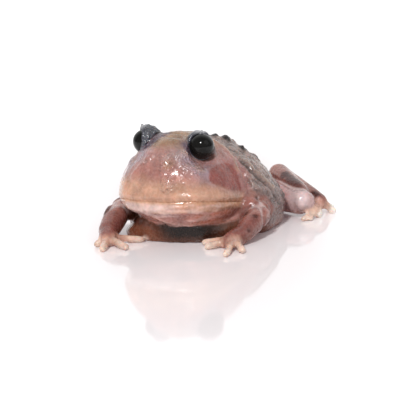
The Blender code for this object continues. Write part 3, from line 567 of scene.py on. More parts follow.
def clearOfEyes(points):
    # the skin reaches no further along the look than edge + slope (distance from its line - radius),
    # by a smooth step back of k log(1 + exp(excess / k))
    soft = eyes["openingSoft"]
    for eye in eyePair:
        away = points - eye["centre"]
        along = away @ eye["axis"]
        out = lengthOf(away - along[:, None] * eye["axis"])
        limit = eye["edge"] + 0.05 + eyes["opening"] * np.maximum(out - eye["radius"] - 0.1, -0.4)
        excess = soft * np.logaddexp(0, (along - limit) / soft)
        fade = ramp(*eyes["openingReach"], out) * (np.abs(along) < 6)
        points = points - (excess * fade)[:, None] * eye["axis"]
    return points


def nostrilDistance(spine):
    spot = (nostrils["across"], nostrils["along"], nostrils["z"])
    return np.minimum(lengthOf(spine - spot), lengthOf(spine - (-spot[0], *spot[1:])))


def beadDistance(spine, bead):
    return lengthOf((spine - bead[:3]) * (1, 0.4, 1))


def nearMouth(points, reach):
    along = measured(points)[1]
    return (along < 15.2) & (np.abs(points[:, 2] - mouthZ(along)) < reach) & (np.abs(points[:, 0]) < 15)


def nearNostrils(points, reach):
    return nostrilDistance(np.column_stack(measured(points))) < reach


def nearBeads(points, reach):
    spine = np.column_stack(measured(points))
    return (np.min([beadDistance(spine, bead) for bead in beads], axis=0) < reach) & (spine[:, 1] < 9)


def nearLids(points, reach):
    return np.min([lengthOf(points - eye["centre"]) for eye in eyePair], axis=0) < reach


def refine(piece, near, reach):
    # splits each edge whose two ends are chosen, so that thin lines have points enough
    chosen = near(pointsOf(piece), reach)
    work = bmesh.new()
    work.from_mesh(piece.data)
    edges = [e for e in work.edges if chosen[e.verts[0].index] and chosen[e.verts[1].index]]
    bmesh.ops.subdivide_edges(work, edges=edges, cuts=1, use_grid_fill=True, smooth=0)
    bmesh.ops.triangulate(work, faces=[f for f in work.faces if len(f.verts) > 4])
    work.to_mesh(piece.data)
    work.free()


for near, reach in ((nearMouth, 1.3), (nearMouth, 0.45), (nearNostrils, 1.6), (nearBeads, 0.9)):
    refine(skin, near, reach)
movePoints(skin, clearOfEyes(pointsOf(skin)))
refine(skin, nearLids, 4.3)
skin.data.shade_smooth()
print("skin refined:", len(skin.data.vertices), "points")


def parts(points):
    # where the skin is head, back, limb, digit or lid, as values from 0 to 1, and each point's place in
    # the spine's measures. shapeSkin adds more of the kind, and paintSkin reads them
    across, along, z = measured(points)
    head = sectionDistance(trunk["head"], across, along, z)
    body = sectionDistance(trunk["body"], across - chestShift(along), along, z)
    lengths, digits = np.full((2, len(points)), np.inf)
    bends, thigh, outward, lid = np.zeros((4, len(points)))
    for word in bothSides:
        limbLines, digitLines = limbPaths(word)
        each = [tubeDistance(points, path) for path in limbLines]
        lengths = np.minimum(lengths, np.min(each, axis=0))
        for one, other in ((each[0], each[1]), (each[3], each[4])):
            bends = np.maximum(bends, bell(one - other, 0.4) * ramp(2.2, 0.8, one + other))
        hip, knee = np.array(limbs[word]["joints"])[4:6, :3]
        front = knee + (knee - hip) * 0.07 + (0, -0.5, 0.2)
        bends = bends * ramp(1.6, 2.7, lengthOf(points - front))
        thigh = np.maximum(thigh, ramp(0.35, -0.35, each[3] - each[4]) * ramp(1.6, 0.8, each[3]))
        for path in digitLines:
            reach = tubeDistance(points, path)
            root, way = np.array(path[0][:3]), np.subtract(path[-1][:3], path[0][:3])
            outward = np.where(reach < digits, (points - root) @ way / (way @ way), outward)
            digits = np.minimum(digits, reach)
        out = lengthOf(points - eyes[word]["centre"]) - eyes[word]["radius"] - eyes["lidOut"]
        lid = np.maximum(lid, ramp(0.25, -0.35, out - head) * (out < 1.2))
    away = np.minimum(lengths, digits) - np.minimum(head, body)
    limb = ramp(0.7, -0.5, away)
    isHead = ramp(0.5, -0.5, head - body) * (1 - limb)
    return SimpleNamespace(
        across=across, along=along, z=z, head=isHead, limb=limb, back=(1 - isHead) * (1 - limb), lid=lid,
        bends=bends, joins=bell(away, 0.5), thigh=thigh, digit=ramp(0.9, 0, digits), outward=outward,
    )


def backWarts():
    # low warts in uneven rows over the back: across, along, height, rise and reach of each
    random = np.random.RandomState(warts["seed"])
    found = []
    for at in np.linspace(warts["from"], warts["to"], warts["rows"]):
        for turn in np.linspace(0.35, pi - 0.35, warts["across"]):
            along = at + random.uniform(-1.3, 1.3)
            turned = turn + random.uniform(-0.17, 0.17)
            width, top, mid, low, upper, lower = through(trunk["body"], along)[0]
            c, s = cos(turned), sin(turned)
            x, z = width * copysign(abs(c) ** (2 / upper), c), mid + (top - mid) * abs(s) ** (2 / upper)
            found.append((x, along, z, random.uniform(*warts["rise"]), random.uniform(*warts["reach"])))
    return found


def wartHeight(points, spine):
    # low domes, h (1 - d / r)^1.2, and steeper pointed ones
    low, pointed = np.zeros((2, len(points)))
    for *foot, rise, reach in backWarts():
        low = np.maximum(low, rise * np.clip(1 - lengthOf(spine - foot) / (1.4 * reach), 0, 1) ** 1.2)
    for foot in warts["pointed"]:
        away = lengthOf((points - foot) * (1, 1, 0.35))
        pointed = np.maximum(pointed, np.clip(1 - away / warts["pointReach"], 0, 1))
    return low, pointed


def foldHeight(spine, lines):
    # the sum of height exp(-(distance / reach)^2) over the lines
    mirrored = np.abs(spine * (1, 0, 0)) + spine * (0, 1, 1)
    return sum(h * nearLine(spine if side else mirrored, line, reach) for h, reach, side, *line in lines)


def shapeSkin(piece):
    # each point moves along its normal by the sum of all folds, lips, creases, warts and grains
    points, normals = pointsOf(piece), pointsOf(piece, "normal")
    f = parts(points)
    f.spine = np.column_stack([f.across, f.along, f.z])
    f.above = points[:, 2] - mouthZ(f.along)
    f.inMouth = f.head * ramp(mouth["cornerAt"] + 0.4, mouth["cornerAt"] - 0.6, f.along)
    f.folded = foldHeight(f.spine, folds) * (1 + 0.5 * f.back)
    f.nostril = nostrilDistance(f.spine)
    f.chest = ramp(8, 5.5, f.z) * ramp(18, 14, f.along) * (1 - f.head)
    # the upper lip bulges and overhangs; the lower lip is a narrow roll, and the jaw turns in below
    f.jawEdge = mouth["jawEdge"] + mouth["jawEdgeRise"] * f.along
    lips = relief["upperLip"] * bell(f.above, 0.6, mouth["upperCrest"])
    lips += relief["lowerLip"] * bell(f.above, 0.5, mouth["lowerCrest"])
    lips *= 0.55 + 0.45 * ramp(-6, 2, f.across)
    lips += relief["underJaw"] * bell(f.above, 0.8, f.jawEdge - 0.9)
    lips += relief["mouthLine"] * bell(f.above, 0.17)
    lift = f.inMouth * lips + (1 - f.limb) * (f.folded * (1 - f.lid) + foldHeight(f.spine, creases))
    lift += relief["bends"] * f.bends * f.limb + relief["joins"] * f.joins * (1 - f.chest)
    lift += relief["digits"] * f.digit + relief["jawRim"] * f.head * nearLine(f.spine, jawRim, 0.36)
    for bead in beads:
        lift += bead[3] * bell(beadDistance(f.spine, bead), bead[4]) * (f.along < 9)
    lift += relief["nostrilRim"] * bell(f.nostril, 0.3, 0.7)
    lift -= nostrils["depth"] * bell(f.nostril, nostrils["radius"])
    lift += relief["swells"] * noise(points, 2.6, 1)
    lift += relief["smallSwells"] * noise(points, 1.1, 2) * (1 - 0.7 * f.limb)
    f.low, f.pointed = (each * f.back for each in wartHeight(points, f.spine))
    f.grain = 0.65 * grains(points, 1.5, 3) + 0.35 * grains(points, 0.85, 6)
    lift += f.low + warts["pointRise"] * f.pointed
    lift += relief["grains"] * f.back * ramp(2, 5, f.z) * (1 - f.chest) * f.grain
    lift += relief["lidGrains"] * f.lid * grains(points, 0.95, 4)
    lift += relief["headGrain"] * f.head * noise(points, 0.75, 7) * ramp(1.5, 3, f.above)
    wave = np.sin(2.2 * f.above + 1.2 * noise(points, 2.4, 8))
    lift += relief["jawWrinkles"] * f.head * ramp(0.3, -1.5, f.above) * wave
    moved = points + normals * lift[:, None]
    moved[:, 2] = np.maximum(moved[:, 2], 0)
    movePoints(piece, moved)
    return f


found = shapeSkin(skin)
print("skin shaped")


def setMask(piece, name, values):
    layer = piece.data.attributes.new(name, "FLOAT", "POINT")
    layer.data.foreach_set("value", np.clip(values, 0, 1).astype(np.float32))


# Blotches on the limbs: centre over the floor and reach
blotches = (
    (14.7, -14.2, 5.4, 0.9), (17, -14.9, 5, 0.75), (16.8, -18.2, 2.7, 0.6), (15.4, -9.4, 7, 0.8),
    (-15, -16.6, 5.4, 1.8), (-13.6, -12, 6.6, 1.6), (-12.4, -20, 3, 1), (13.2, 11.6, 8, 1.5),
    (14.8, 10.3, 7.8, 1.9), (16.4, 9.1, 7.3, 1.8), (17.9, 7.9, 6.4, 1.2), (20.6, 10.2, 4.4, 1.1),
    (-12, 16, 7.4, 2), (-15, 14, 6, 1.6),
)
# Lines of colour: a painted rim highlight down the near arm's edge, the wet stretches of the snout, the grey
# before the eye
armRimHighlight = ((15.9, -10.2, 7.4), (17.9, -10.7, 6.1), (18.6, -11.8, 4.6), (17.6, -16, 3.2), (16.9, -18.6, 2.2))
snoutGlint = ((1.4, 3, 17.2), (1.7, 1.9, 15.6), (2.4, 1.1, 13.9), (2.5, 0.6, 12.3))
eyeGlint = ((5.2, 4.6, 17.4), (6.6, 4.9, 15.6))
lorealLine = ((4.3, 4.8, 18), (5.6, 4.8, 16.6), (7, 5.2, 15), (8.6, 6.6, 13.8))


def paintSkin(piece, f):
    # every mask is a value from 0 to 1 at each point, worked out from where the point lies
    points = pointsOf(piece)
    x, height = points[:, 0], points[:, 2]
    across, along, z, above, inMouth, spine = f.across, f.along, f.z, f.above, f.inMouth, f.spine
    head, limb, back, skinOnly = f.head, f.limb, f.back, 1 - f.limb
    mirrored = np.column_stack([np.abs(across), along, z])
    soft, fine = noise(points, 1.7, 21), noise(points, 0.6, 22)
    upper = ramp(-0.1, 0.15, above)
    jaw, lowerLip = head * (1 - upper), inMouth * (1 - upper)
    orbit, lidSide = np.zeros((2, len(points)))
    for eye in eyePair:
        inner = eye["centre"] - (eye["side"] * 0.9, 0.2, -0.2)
        here = ramp(*eye["orbit"], lengthOf(points - inner) + 0.15 * soft)
        orbit = np.maximum(orbit, here * (ramp(21, 19.4, z) if eye["side"] > 0 else 1))
        raised = (points - eye["centre"]) @ eye["above"]
        lidSide = np.maximum(lidSide, ramp(-2.4, -0.6, raised) * (x * eye["side"] > 0))
    lid = f.lid * lidSide
    wetLines = ramp(2, 0.8, lineDistance(spine, snoutGlint)), ramp(2.6, 1.2, lineDistance(mirrored, eyeGlint))
    glint = np.maximum(np.maximum(*wetLines) * head, lid)
    brow = ramp(1.6, 2.6, height - eyes["left"]["centre"][2] + 0.3 * x - 1.8) * (x > 0)
    spots = np.max([bell(lengthOf(points - spot), reach) for *spot, reach in blotches], axis=0)
    blotch = limb * ramp(0.15, 0.85, spots + 0.3 * soft + 0.12 * fine)
    front = skinOnly * ramp(18, 14, along) * (1 - head)
    chest = ramp(8, 5.5, height) * front
    aside, lowHead = ramp(11, 8, along), ramp(17.5, 15, z)
    masks = {
        "head": head,
        "crown": head * ramp(17.6, 20, z + 0.5 * soft) * ramp(2.2, 4.5, along),
        "cheek": head * ramp(5.5, 8.5, np.abs(across) + 0.3 * along + soft) * lowHead * ramp(5, 9, along),
        "loreal": head * nearLine(mirrored, lorealLine, 2),
        "snoutRed": head * ramp(4.5, 1.5, along) * ramp(12.4, 13.6, z) * lowHead,
        "noseRidge": head * nearLine(spine, folds[0][3:], 0.8),
        "earPatch": skinOnly * insideOutline(along, z, earPatch, 0.18) * (np.abs(across) > 7),
        "earRim": skinOnly * nearLine(mirrored, earRim, 0.45),
        # painted shade in the creases across the crown
        "crownGrooveShade": head * ramp(0.05, 0.22, -f.folded) * ramp(19, 20, z),
        "amber": head * ramp(0.15, 0.65, noise(points, 2.3, 25) + 0.3 * soft) * ramp(9.5, 11.5, z),
        "lipStripe": inMouth * bell(above, 0.5, -0.1),
        "jaw": jaw,
        "jawBand": lowerLip * ramp(-0.25, 0.1, above - f.jawEdge + 0.12 * soft),
        # painted light: the underside of the jaw on the near side, brightened as if lit from the floor
        "jawUnderLit": jaw * ramp(0.1, -0.4, above - f.jawEdge) * ramp(4, 10, across + 0.6 * soft) * aside,
        # pale patches on the lower lip: partly paler skin, partly painted wet highlights
        "jawPaleAndHighlights": lowerLip * ramp(5, 1, across + 1.2 * soft) * ramp(-3.6, -2.4, above)
        * ramp(-0.5, 0.4, noise(points * (0.45, 1, 1), 0.9, 26) + 0.25),
        "jawStreak": jaw * ramp(0, 0.5, noise(points * (0.35, 0.6, 1.8), 1.1, 27)) * aside,
        # painted highlight along the jaw's lower rim
        "jawRim": jaw * ramp(12.5, 9.5, across) * nearLine(spine, jawRim, 0.45),
        "mouthLine": inMouth * bell(above, 0.13),
        "low": back * ramp(12, 5, z + soft),
        # painted shade in the hollows of the folds on the back and flanks
        "grooveShade": back * ramp(0.15, 0.7, -f.folded * 2.2 + 0.15 * soft),
        "ridges": skinOnly * ramp(0.1, 0.4, f.folded) * ramp(14.4, 15.4, along),
        # painted shade in the hollows between the back's grains
        "between": back * ramp(0.42, 0.12, f.grain) * ramp(2, 5, z),
        "wart": back * ramp(0.18, 0.5, f.low + 0.08 * fine),
        "point": back * ramp(0.05, 0.4, f.pointed + 0.1 * fine),
        "backStain": back * ramp(0.2, 0.8, noise(points, 3.1, 23) + 0.4 * soft),
        "limb": limb,
        "limbPink": limb * ramp(-0.2, 0.7, noise(points, 2.8, 24)),
        # painted shade: the limbs darker towards the floor
        "limbLowShade": limb * ramp(7.6, 3.2, height + 0.5 * soft) * (1 - f.thigh),
        "blotch": blotch,
        "palm": limb * f.digit,
        "digit": limb * f.digit * ramp(0.15, 0.5, f.outward + 0.12 * soft),
        "tip": limb * f.digit * ramp(0.4, 0.8, f.outward) * (0.3 + 0.7 * (x > 22.6)),
        # painted rim highlight down the near arm's outer edge
        "armRimHighlight": limb * nearLine(points, armRimHighlight, 0.6),
        "thigh": limb * f.thigh,
        # partly the knee's paler skin, partly a painted highlight on the thigh's bulge
        "kneePaleAndHighlight": limb * bell(lengthOf(points - (19.4, 4.2, 4.2)), 2.9),
        # painted shade in the crease where upper arm meets forearm and thigh meets shank
        "bend": limb * ramp(0.15, 0.6, f.bends),
        # painted highlight along the middle of that crease
        "bendHighlight": limb * ramp(0.75, 0.95, f.bends),
        "lid": lid,
        "brow": lid * brow,
        "orbit": orbit * lidSide * skinOnly,
        "glint": glint,
        "nostril": bell(f.nostril, 0.42),
        # painted shade, orange-red, low on the skin where it meets the floor
        "under": ramp(2.6, 0.6, height) * (1 - f.digit),
        # the belly's own red-brown, darkened further as painted shade under the head
        "chest": chest,
        # painted shadow: near-black under the chin, where the head's shade falls
        "throatShadow": ramp(8, 5, height) * front * np.exp(-(((across - 4.8) / 7) ** 4))
        * (0.6 + 0.4 * ramp(0.2, 1.8, height)),
        "wet": 0.5 + 0.5 * lowerLip + 0.3 * glint - 0.5 * chest - 0.2 * back - 0.5 * blotch,
    }
    lipTop = np.interp(along, mouth["lipAt"], mouth["lipTop"])
    masks["lipBand"] = inMouth * upper * ramp(lipTop + 1.5, lipTop - 1.3, z + 0.4 * soft)
    masks["rough"] = 0.25 + 0.6 * back * (1 - chest) - 0.2 * chest + 0.6 * lid - 0.15 * limb - 0.1 * blotch
    masks["rough"] += head * (0.12 - 0.12 * inMouth * ramp(3.2, 1.6, above) + 0.6 * glint)
    for name, values in masks.items():
        setMask(piece, name, values)


paintSkin(skin, found)
print("skin painted:", len(skin.data.attributes), "attributes")


def feed(tree, node, inputs):
    # each input takes a link from another node's output, or a value; colours come without an alpha
    for name, value in inputs.items():
        socket = node.inputs[name]
        if isinstance(value, bpy.types.NodeSocket):
            tree.links.new(value, socket)
        else:
            socket.default_value = (*value, 1) if socket.type == "RGBA" else value


def add(tree, kind, inputs={}, **settings):
    # one node with its settings and inputs; gives back its outputs
    node = tree.nodes.new("ShaderNode" + kind)
    for name, value in settings.items():
        setattr(node, name, value)
    feed(tree, node, inputs)
    return node.outputs


def times(tree, a, b):
    return add(tree, "Math", {0: a, 1: b}, operation="MULTIPLY")[0]


def maskOf(tree, name):
    return add(tree, "Attribute", attribute_name=name)["Fac"]


def mixed(tree, factor, a, b, blend="MIX"):
    return add(tree, "Mix", {"Factor": factor, "A": a, "B": b}, data_type="RGBA", blend_type=blend)["Result"]


def mapped(tree, value, taken, given, kind="LINEAR"):
    # a Map Range from one pair of values to another
    names = ("From Min", "From Max", "To Min", "To Max")
    inputs = {"Value": value, **dict(zip(names, (*taken, *given)))}
    return add(tree, "MapRange", inputs, interpolation_type=kind)["Result"]


def bumped(tree, height, strength, distance, under=None):
    inputs = {"Height": height, "Strength": strength, "Distance": distance}
    if under is not None:
        inputs["Normal"] = under
    return add(tree, "Bump", inputs)["Normal"]


def newMaterial(name, allOver):
    material = bpy.data.materials.new(name)
    material.use_nodes = True
    shader = material.node_tree.nodes["Principled BSDF"]
    feed(material.node_tree, shader, allOver)
    return material, material.node_tree, shader


def groupMottle():
    # shared mottling: a light-to-dark shade, and fine noise and coarse cells as heights for a bump
    tree = bpy.data.node_groups.new("mottle", "ShaderNodeTree")
    for name in ("Scale", "Contrast"):
        tree.interface.new_socket(name, in_out="INPUT", socket_type="NodeSocketFloat")
    for name in ("Shade", "Fine", "Coarse"):
        tree.interface.new_socket(name, in_out="OUTPUT", socket_type="NodeSocketFloat")
    given = tree.nodes.new("NodeGroupInput").outputs
    where, scale = add(tree, "TexCoord")["Object"], given["Scale"]
    blur = add(tree, "TexNoise", {"Vector": where, "Scale": scale, "Detail": 2})["Fac"]
    fine = add(tree, "TexNoise", {"Vector": where, "Scale": times(tree, scale, 4), "Detail": 1})["Fac"]
    cells = add(tree, "TexVoronoi", {"Vector": where, "Scale": times(tree, scale, 3)})["Distance"]
    low = add(tree, "Math", {0: 1, 1: given["Contrast"]}, operation="SUBTRACT")[0]
    high = add(tree, "Math", {0: 1, 1: given["Contrast"]}, operation="ADD")[0]
    shade = mapped(tree, blur, (0.3, 0.7), (low, high))
    feed(tree, tree.nodes.new("NodeGroupOutput"), {"Shade": shade, "Fine": fine, "Coarse": cells})
    return tree


mottle = groupMottle()


def mottled(tree, scale, contrast):
    return add(tree, "Group", {"Scale": scale, "Contrast": contrast}, node_tree=mottle)


# The skin's colours (linear), laid over one another in this order: mask, colour, strength
skinFinish = {
    "base": (0.31, 0.22, 0.195),
    "layers": (
        ("low", (0.225, 0.15, 0.145), 0.85), ("backStain", (0.2, 0.13, 0.12), 0.5),
        # painted shade between the back's grains
        ("between", (0.095, 0.062, 0.055), 0.7), ("head", (0.37, 0.195, 0.17), 1),
        # painted shade in the crown's creases
        ("crown", (0.28, 0.175, 0.095), 0.8), ("crownGrooveShade", (0.14, 0.085, 0.055), 0.6),
        ("cheek", (0.33, 0.16, 0.15), 0.9), ("loreal", (0.34, 0.25, 0.29), 0.8),
        ("snoutRed", (0.4, 0.175, 0.145), 0.7), ("amber", (0.48, 0.26, 0.14), 0.35),
        ("noseRidge", (0.44, 0.31, 0.28), 0.5), ("earPatch", (0.25, 0.08, 0.068), 0.97),
        ("earRim", (0.68, 0.44, 0.37), 0.95), ("jaw", (0.4, 0.175, 0.145), 1),
        # painted light on the underside of the jaw's near side
        ("jawBand", (0.58, 0.325, 0.225), 0.9), ("jawUnderLit", (0.78, 0.31, 0.22), 0.8),
        # lower lip: paler skin with painted wet highlights
        ("jawStreak", (0.8, 0.56, 0.51), 0.5), ("jawPaleAndHighlights", (0.8, 0.63, 0.6), 0.55),
        # painted highlight on the jaw's lower rim
        ("jawRim", (0.7, 0.45, 0.39), 0.55), ("lipBand", (0.56, 0.315, 0.215), 0.9),
        ("lipStripe", (0.55, 0.275, 0.15), 0.7), ("mouthLine", (0.46, 0.22, 0.12), 0.3),
        # painted shade in the fold hollows
        ("ridges", (0.4, 0.29, 0.23), 0.7), ("grooveShade", (0.1, 0.07, 0.062), 0.7),
        ("limb", (0.3, 0.135, 0.11), 1), ("limbPink", (0.29, 0.095, 0.08), 0.6),
        # painted rim highlight on the near arm
        # painted shade low on the limbs
        ("limbLowShade", (0.18, 0.05, 0.04), 0.75), ("armRimHighlight", (0.54, 0.34, 0.3), 0.3),
        # paler skin and a painted highlight on the knee
        ("thigh", (0.46, 0.255, 0.25), 0.9), ("kneePaleAndHighlight", (0.8, 0.67, 0.67), 0.7),
        # painted shade in the elbow and knee creases
        ("blotch", (0.05, 0.01, 0.008), 0.93), ("bend", (0.22, 0.09, 0.075), 0.4),
        # painted highlight in the creases, and painted shade where the skin meets the floor
        ("bendHighlight", (0.62, 0.46, 0.44), 0.6), ("under", (0.28, 0.085, 0.045), 0.6),
        # painted shade on the chest under the head, and a near-black painted shadow under the chin
        ("chest", (0.19, 0.06, 0.026), 0.9), ("throatShadow", (0.006, 0.003, 0.002), 0.98),
        ("palm", (0.54, 0.3, 0.23), 0.9), ("digit", (0.66, 0.42, 0.315), 0.9), ("tip", (1, 0.92, 0.82), 1),
        ("wart", (0.12, 0.085, 0.08), 0.6), ("point", (0.02, 0.016, 0.015), 0.95),
        ("orbit", (0.085, 0.065, 0.105), 0.8), ("lid", (0.075, 0.08, 0.097), 0.9),
        ("brow", (0.42, 0.425, 0.44), 0.9), ("nostril", (0.18, 0.09, 0.07), 0.5),
    ),
    "mottleScale": 420, "mottle": 0.2, "roughness": (0.15, 0.39), "wet": 0.4,
    "glintScale": 520, "glint": 1, "glintDistance": 0.0004, "bump": 0.9, "grain": 0.6, "bumpDistance": 0.0003,
    "allOver": {
        "Coat Roughness": 0.12, "Subsurface Weight": 0.25, "Subsurface Scale": 0.0012,
        "Subsurface Radius": (1, 0.4, 0.25),
    },
}


def skinMaterial():
    look = skinFinish
    material, tree, shader = newMaterial("skin", look["allOver"])
    colour = look["base"]
    for name, tone, strength in look["layers"]:
        colour = mixed(tree, times(tree, maskOf(tree, name), strength), colour, tone)
    marks, sparks = mottled(tree, look["mottleScale"], look["mottle"]), mottled(tree, look["glintScale"], 0.5)
    rough = maskOf(tree, "rough")
    cells, grain = times(tree, marks["Coarse"], rough), times(tree, marks["Fine"], rough)
    normal = bumped(tree, cells, look["bump"], look["bumpDistance"])
    normal = bumped(tree, grain, look["grain"], look["bumpDistance"], normal)
    sparkle = times(tree, sparks["Fine"], maskOf(tree, "glint"))
    feed(tree, shader, {
        "Base Color": mixed(tree, 1, colour, marks["Shade"], "MULTIPLY"),
        "Roughness": mapped(tree, marks["Fine"], (0, 1), look["roughness"]),
        "Normal": bumped(tree, sparkle, look["glint"], look["glintDistance"], normal),
        "Coat Weight": times(tree, maskOf(tree, "wet"), look["wet"]),
    })
    return material


skin.data.materials.clear()
skin.data.materials.append(skinMaterial())


def eyeball(eye, name):
    # a ball that stands a little forward where the cornea is: radius r (1 + 0.03 cos(1.6 turn)^2)
    turn = np.linspace(0, pi, 90)
    radius = eye["radius"] * (1 + eyes["cornea"] * np.clip(np.cos(turn * 1.6), 0, 1) ** 2)
    profile = np.column_stack([radius * np.cos(turn), radius * np.sin(turn)])
    return meshPiece(name, [turnedShell(profile[::-1], eye["centre"], eye["axis"], 96)])


def lidRing(eye):
    # the lid's edge: a thin ring round the ball at the edge, with an oval section, thicker above
    n, m = 120, 20
    turn, around = turns(n)[:, None], turns(m)
    above = np.clip(np.cos(turn), 0, 1)
    width = eyes["rim"] * (1 + eyes["rimAbove"] * above**1.4)
    width = width * (1 + 0.08 * np.sin(7 * turn) + 0.06 * np.sin(11 * turn + 1))
    way = np.cos(turn)[..., None] * eye["above"] + np.sin(turn)[..., None] * eye["ahead"]
    along = eye["edge"] + width * np.sin(around) * 1.2
    out = np.sqrt(eye["radius"] ** 2 - eye["edge"] ** 2) + width * 0.7 + width * np.cos(around)
    grid = eye["centre"] + along[..., None] * eye["axis"] + out[..., None] * way
    i, j = np.arange(n)[:, None], np.arange(m)
    ahead, beside = (i + 1) % n * m, (j + 1) % m
    quads = np.stack([i * m + j, i * m + beside, ahead + beside, ahead + j], axis=-1).reshape(-1, 4)
    return grid.reshape(-1, 3), quads[:, :: -eye["side"]], np.zeros((0, 3), int)


def hornShell(eye):
    # the small horn over the eye: a cone with a hollow flank, bent a little
    t = np.linspace(0, 1, 9)[:, None]
    wide, narrow = eyes["hornRadius"]
    foot = np.array(eye["horn"]) * eyes["hornFoot"]
    line = eye["centre"] + foot + (eye["horn"] - foot) * t + eye["ahead"] * eyes["hornBow"] * np.sin(pi * t)
    radius = narrow + (wide - narrow) * (1 - t) ** 1.3
    vertices, quads, tris = tubeShell(np.column_stack([line, radius]), 40, 28)
    return vertices, quads[:, ::-1], tris[:, ::-1]


def lidPiece(eye, name):
    lid = meshPiece(name, [lidRing(eye), hornShell(eye)])
    away = pointsOf(lid) - eye["centre"]
    raised = away @ eye["above"]
    high = ramp(2.2, 3.2, raised) * (1 - 0.8 * ramp(-0.2, 1.8, away @ eye["ahead"]))
    setMask(lid, "pale", np.maximum(high, 0.3 * ramp(-1, -2.2, raised)))
    return lid


eyeFinish = {
    "dark": (0.004, 0.004, 0.004), "light": (0.012, 0.011, 0.01), "scale": 500, "mottle": 0.5,
    "allOver": {"Roughness": 0.06, "Specular IOR Level": 0.2},
}
lidFinish = {
    "dark": (0.045, 0.043, 0.062), "pale": (0.42, 0.42, 0.43), "scale": 600, "mottle": 0.3,
    "bump": 0.3, "bumpDistance": 0.00015,
    "allOver": {"Roughness": 0.35, "Coat Weight": 0.3, "Coat Roughness": 0.08},
}


def eyeMaterial():
    look = eyeFinish
    material, tree, shader = newMaterial("eye", look["allOver"])
    marks = mottled(tree, look["scale"], look["mottle"])["Fine"]
    feed(tree, shader, {"Base Color": mixed(tree, marks, look["dark"], look["light"])})
    return material


def lidMaterial():
    look = lidFinish
    material, tree, shader = newMaterial("lid", look["allOver"])
    marks = mottled(tree, look["scale"], look["mottle"])
    tone = mixed(tree, maskOf(tree, "pale"), look["dark"], look["pale"])
    feed(tree, shader, {
        "Base Color": mixed(tree, 1, tone, marks["Shade"], "MULTIPLY"),
        "Normal": bumped(tree, marks["Coarse"], look["bump"], look["bumpDistance"]),
    })
    return material


eyeLook, lidLook = eyeMaterial(), lidMaterial()
dressed = [skin]
for word in bothSides:
    ball, lid = eyeball(eyes[word], "eyeball_" + word), lidPiece(eyes[word], "lid_" + word)
    ball.data.materials.append(eyeLook)
    lid.data.materials.append(lidLook)
    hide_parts("eye_" + word)
    dressed += [ball, lid]
for piece in dressed:
    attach(piece, "root")
sides = [n + "_" + word for word in bothSides
         for n in ("upper_arm", "forearm", "hand", "thigh", "shank", "foot")]
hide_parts("head", "lower_jaw", "torso", *sides)
print("eyes and lids made")

# Floor and light. The floor gives off light of its own, dim in a strip under the frog, so that its
# mirror image shows there. The surroundings' light goes from the first value to the second behind it
studio = {
    "floorReach": 1.6, "floorDrop": 0.00002, "floorRings": 40, "floorSides": 96,
    "floor": {"Base Color": (0.84, 0.81, 0.815), "Roughness": 0.06, "IOR": 1.4, "Emission Strength": 1},
    "stripTurn": 25, "stripLength": 4, "glow": (0.016, 0.055),
    "glowNear": (0.07, 0.05, 0.055), "glowFar": (0.7, 0.7, 0.7),
    "behindWay": (-0.42, 0.9, 0.1), "behindReach": (0.1, 0.7), "light": (0.26, 1),
    "key": {"turn": 8, "up": 46, "away": 0.9, "size": 0.15, "power": 6},
    "fill": {"turn": 80, "up": 40, "away": 0.9, "size": 0.7, "power": 0.8},
    "target": (0, -0.008, 0.008),
}


def floorPiece():
    # a wide disc: rings of growing radius round the origin, just under the feet
    radius = studio["floorReach"] * np.linspace(0, 1, studio["floorRings"])[1:] ** 2
    m = studio["floorSides"]
    ring = np.column_stack([np.cos(turns(m)), np.sin(turns(m))])
    flat = np.concatenate([[[0, 0]], (radius[:, None, None] * ring).reshape(-1, 2)])
    k = np.arange(m)
    inner = np.stack([0 * k, 1 + k, 1 + (k + 1) % m], axis=-1)
    i = np.arange(len(radius) - 1)[:, None] * m + 1
    a, b = i + k, i + (k + 1) % m
    faces = inner.tolist() + np.stack([a, a + m, b + m, b], axis=-1).reshape(-1, 4).tolist()
    return newObject("floor", np.column_stack([flat, np.full(len(flat), -studio["floorDrop"])]), faces)


def floorMaterial():
    material, tree, shader = newMaterial("floor", studio["floor"])
    strip = add(tree, "Mapping", {
        "Vector": add(tree, "TexCoord")["Object"],
        "Rotation": (0, 0, radians(studio["stripTurn"])),
        "Scale": (1, studio["stripLength"], 1),
    }, vector_type="TEXTURE")["Vector"]
    away = add(tree, "VectorMath", {0: strip}, operation="LENGTH")["Value"]
    far = mapped(tree, away, studio["glow"], (0, 1), "SMOOTHSTEP")
    feed(tree, shader, {"Emission Color": mixed(tree, far, studio["glowNear"], studio["glowFar"])})
    return material


floor = floorPiece()
floor.data.materials.append(floorMaterial())


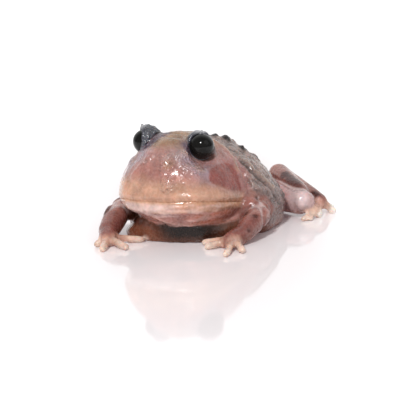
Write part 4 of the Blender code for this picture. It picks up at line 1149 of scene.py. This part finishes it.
def areaLight(name, turn, up, away, size, power):
    # a round lamp on a sphere about the target, turned to face it
    data = bpy.data.lights.new(name, "AREA")
    data.shape = "DISK"
    data.size = size
    data.energy = power
    back = Vector(lookWay(turn, up))
    spin = back.to_track_quat("Z", "Y").to_matrix().to_4x4()
    lamp = linked(bpy.data.objects.new(name, data))
    lamp.matrix_world = Matrix.Translation(Vector(studio["target"]) + back * away) @ spin


for name in ("key", "fill"):
    areaLight(name, **studio[name])

world = bpy.data.worlds.new("studio")
bpy.context.scene.world = world
world.use_nodes = True
tree = world.node_tree
towards = {0: add(tree, "TexCoord")["Generated"], 1: studio["behindWay"]}
facing = add(tree, "VectorMath", towards, operation="DOT_PRODUCT")["Value"]
lit = tree.nodes["Background"]
grade = mapped(tree, facing, studio["behindReach"], studio["light"], "SMOOTHSTEP")
feed(tree, lit, {"Color": (1, 1, 1), "Strength": grade})
seen = add(tree, "Background", {"Color": (1, 1, 1), "Strength": 1})[0]
both = add(tree, "MixShader", {0: add(tree, "LightPath")["Is Camera Ray"], 1: lit.outputs[0], 2: seen})[0]
feed(tree, tree.nodes["World Output"], {"Surface": both})
bpy.context.scene.view_settings.view_transform = "Standard"

# The camera: turn round the frog from straight ahead, height over the floor and roll in degrees
view = {
    "turn": 25, "up": 13, "roll": 3.3, "away": 0.3, "target": (0, -0.011, 0),
    "lens": 132.3, "sensor": 36, "shift": (0.036, 0.08125),
}
camera = linked(bpy.data.objects.new("camera", bpy.data.cameras.new("camera")))
camera.data.lens = view["lens"]
camera.data.sensor_width = view["sensor"]
camera.data.shift_x, camera.data.shift_y = view["shift"]
turn, roll = radians(view["turn"]), radians(view["roll"])
back = Vector(lookWay(view["turn"], view["up"]))
level = Vector((cos(turn), sin(turn), 0))
above = back.cross(level)
right = level * cos(roll) - above * sin(roll)
above = above * cos(roll) + level * sin(roll)
basis = Matrix((right, above, back)).transposed().to_4x4()
camera.matrix_world = Matrix.Translation(Vector(view["target"]) + back * view["away"]) @ basis
bpy.context.scene.camera = camera
print("studio set")
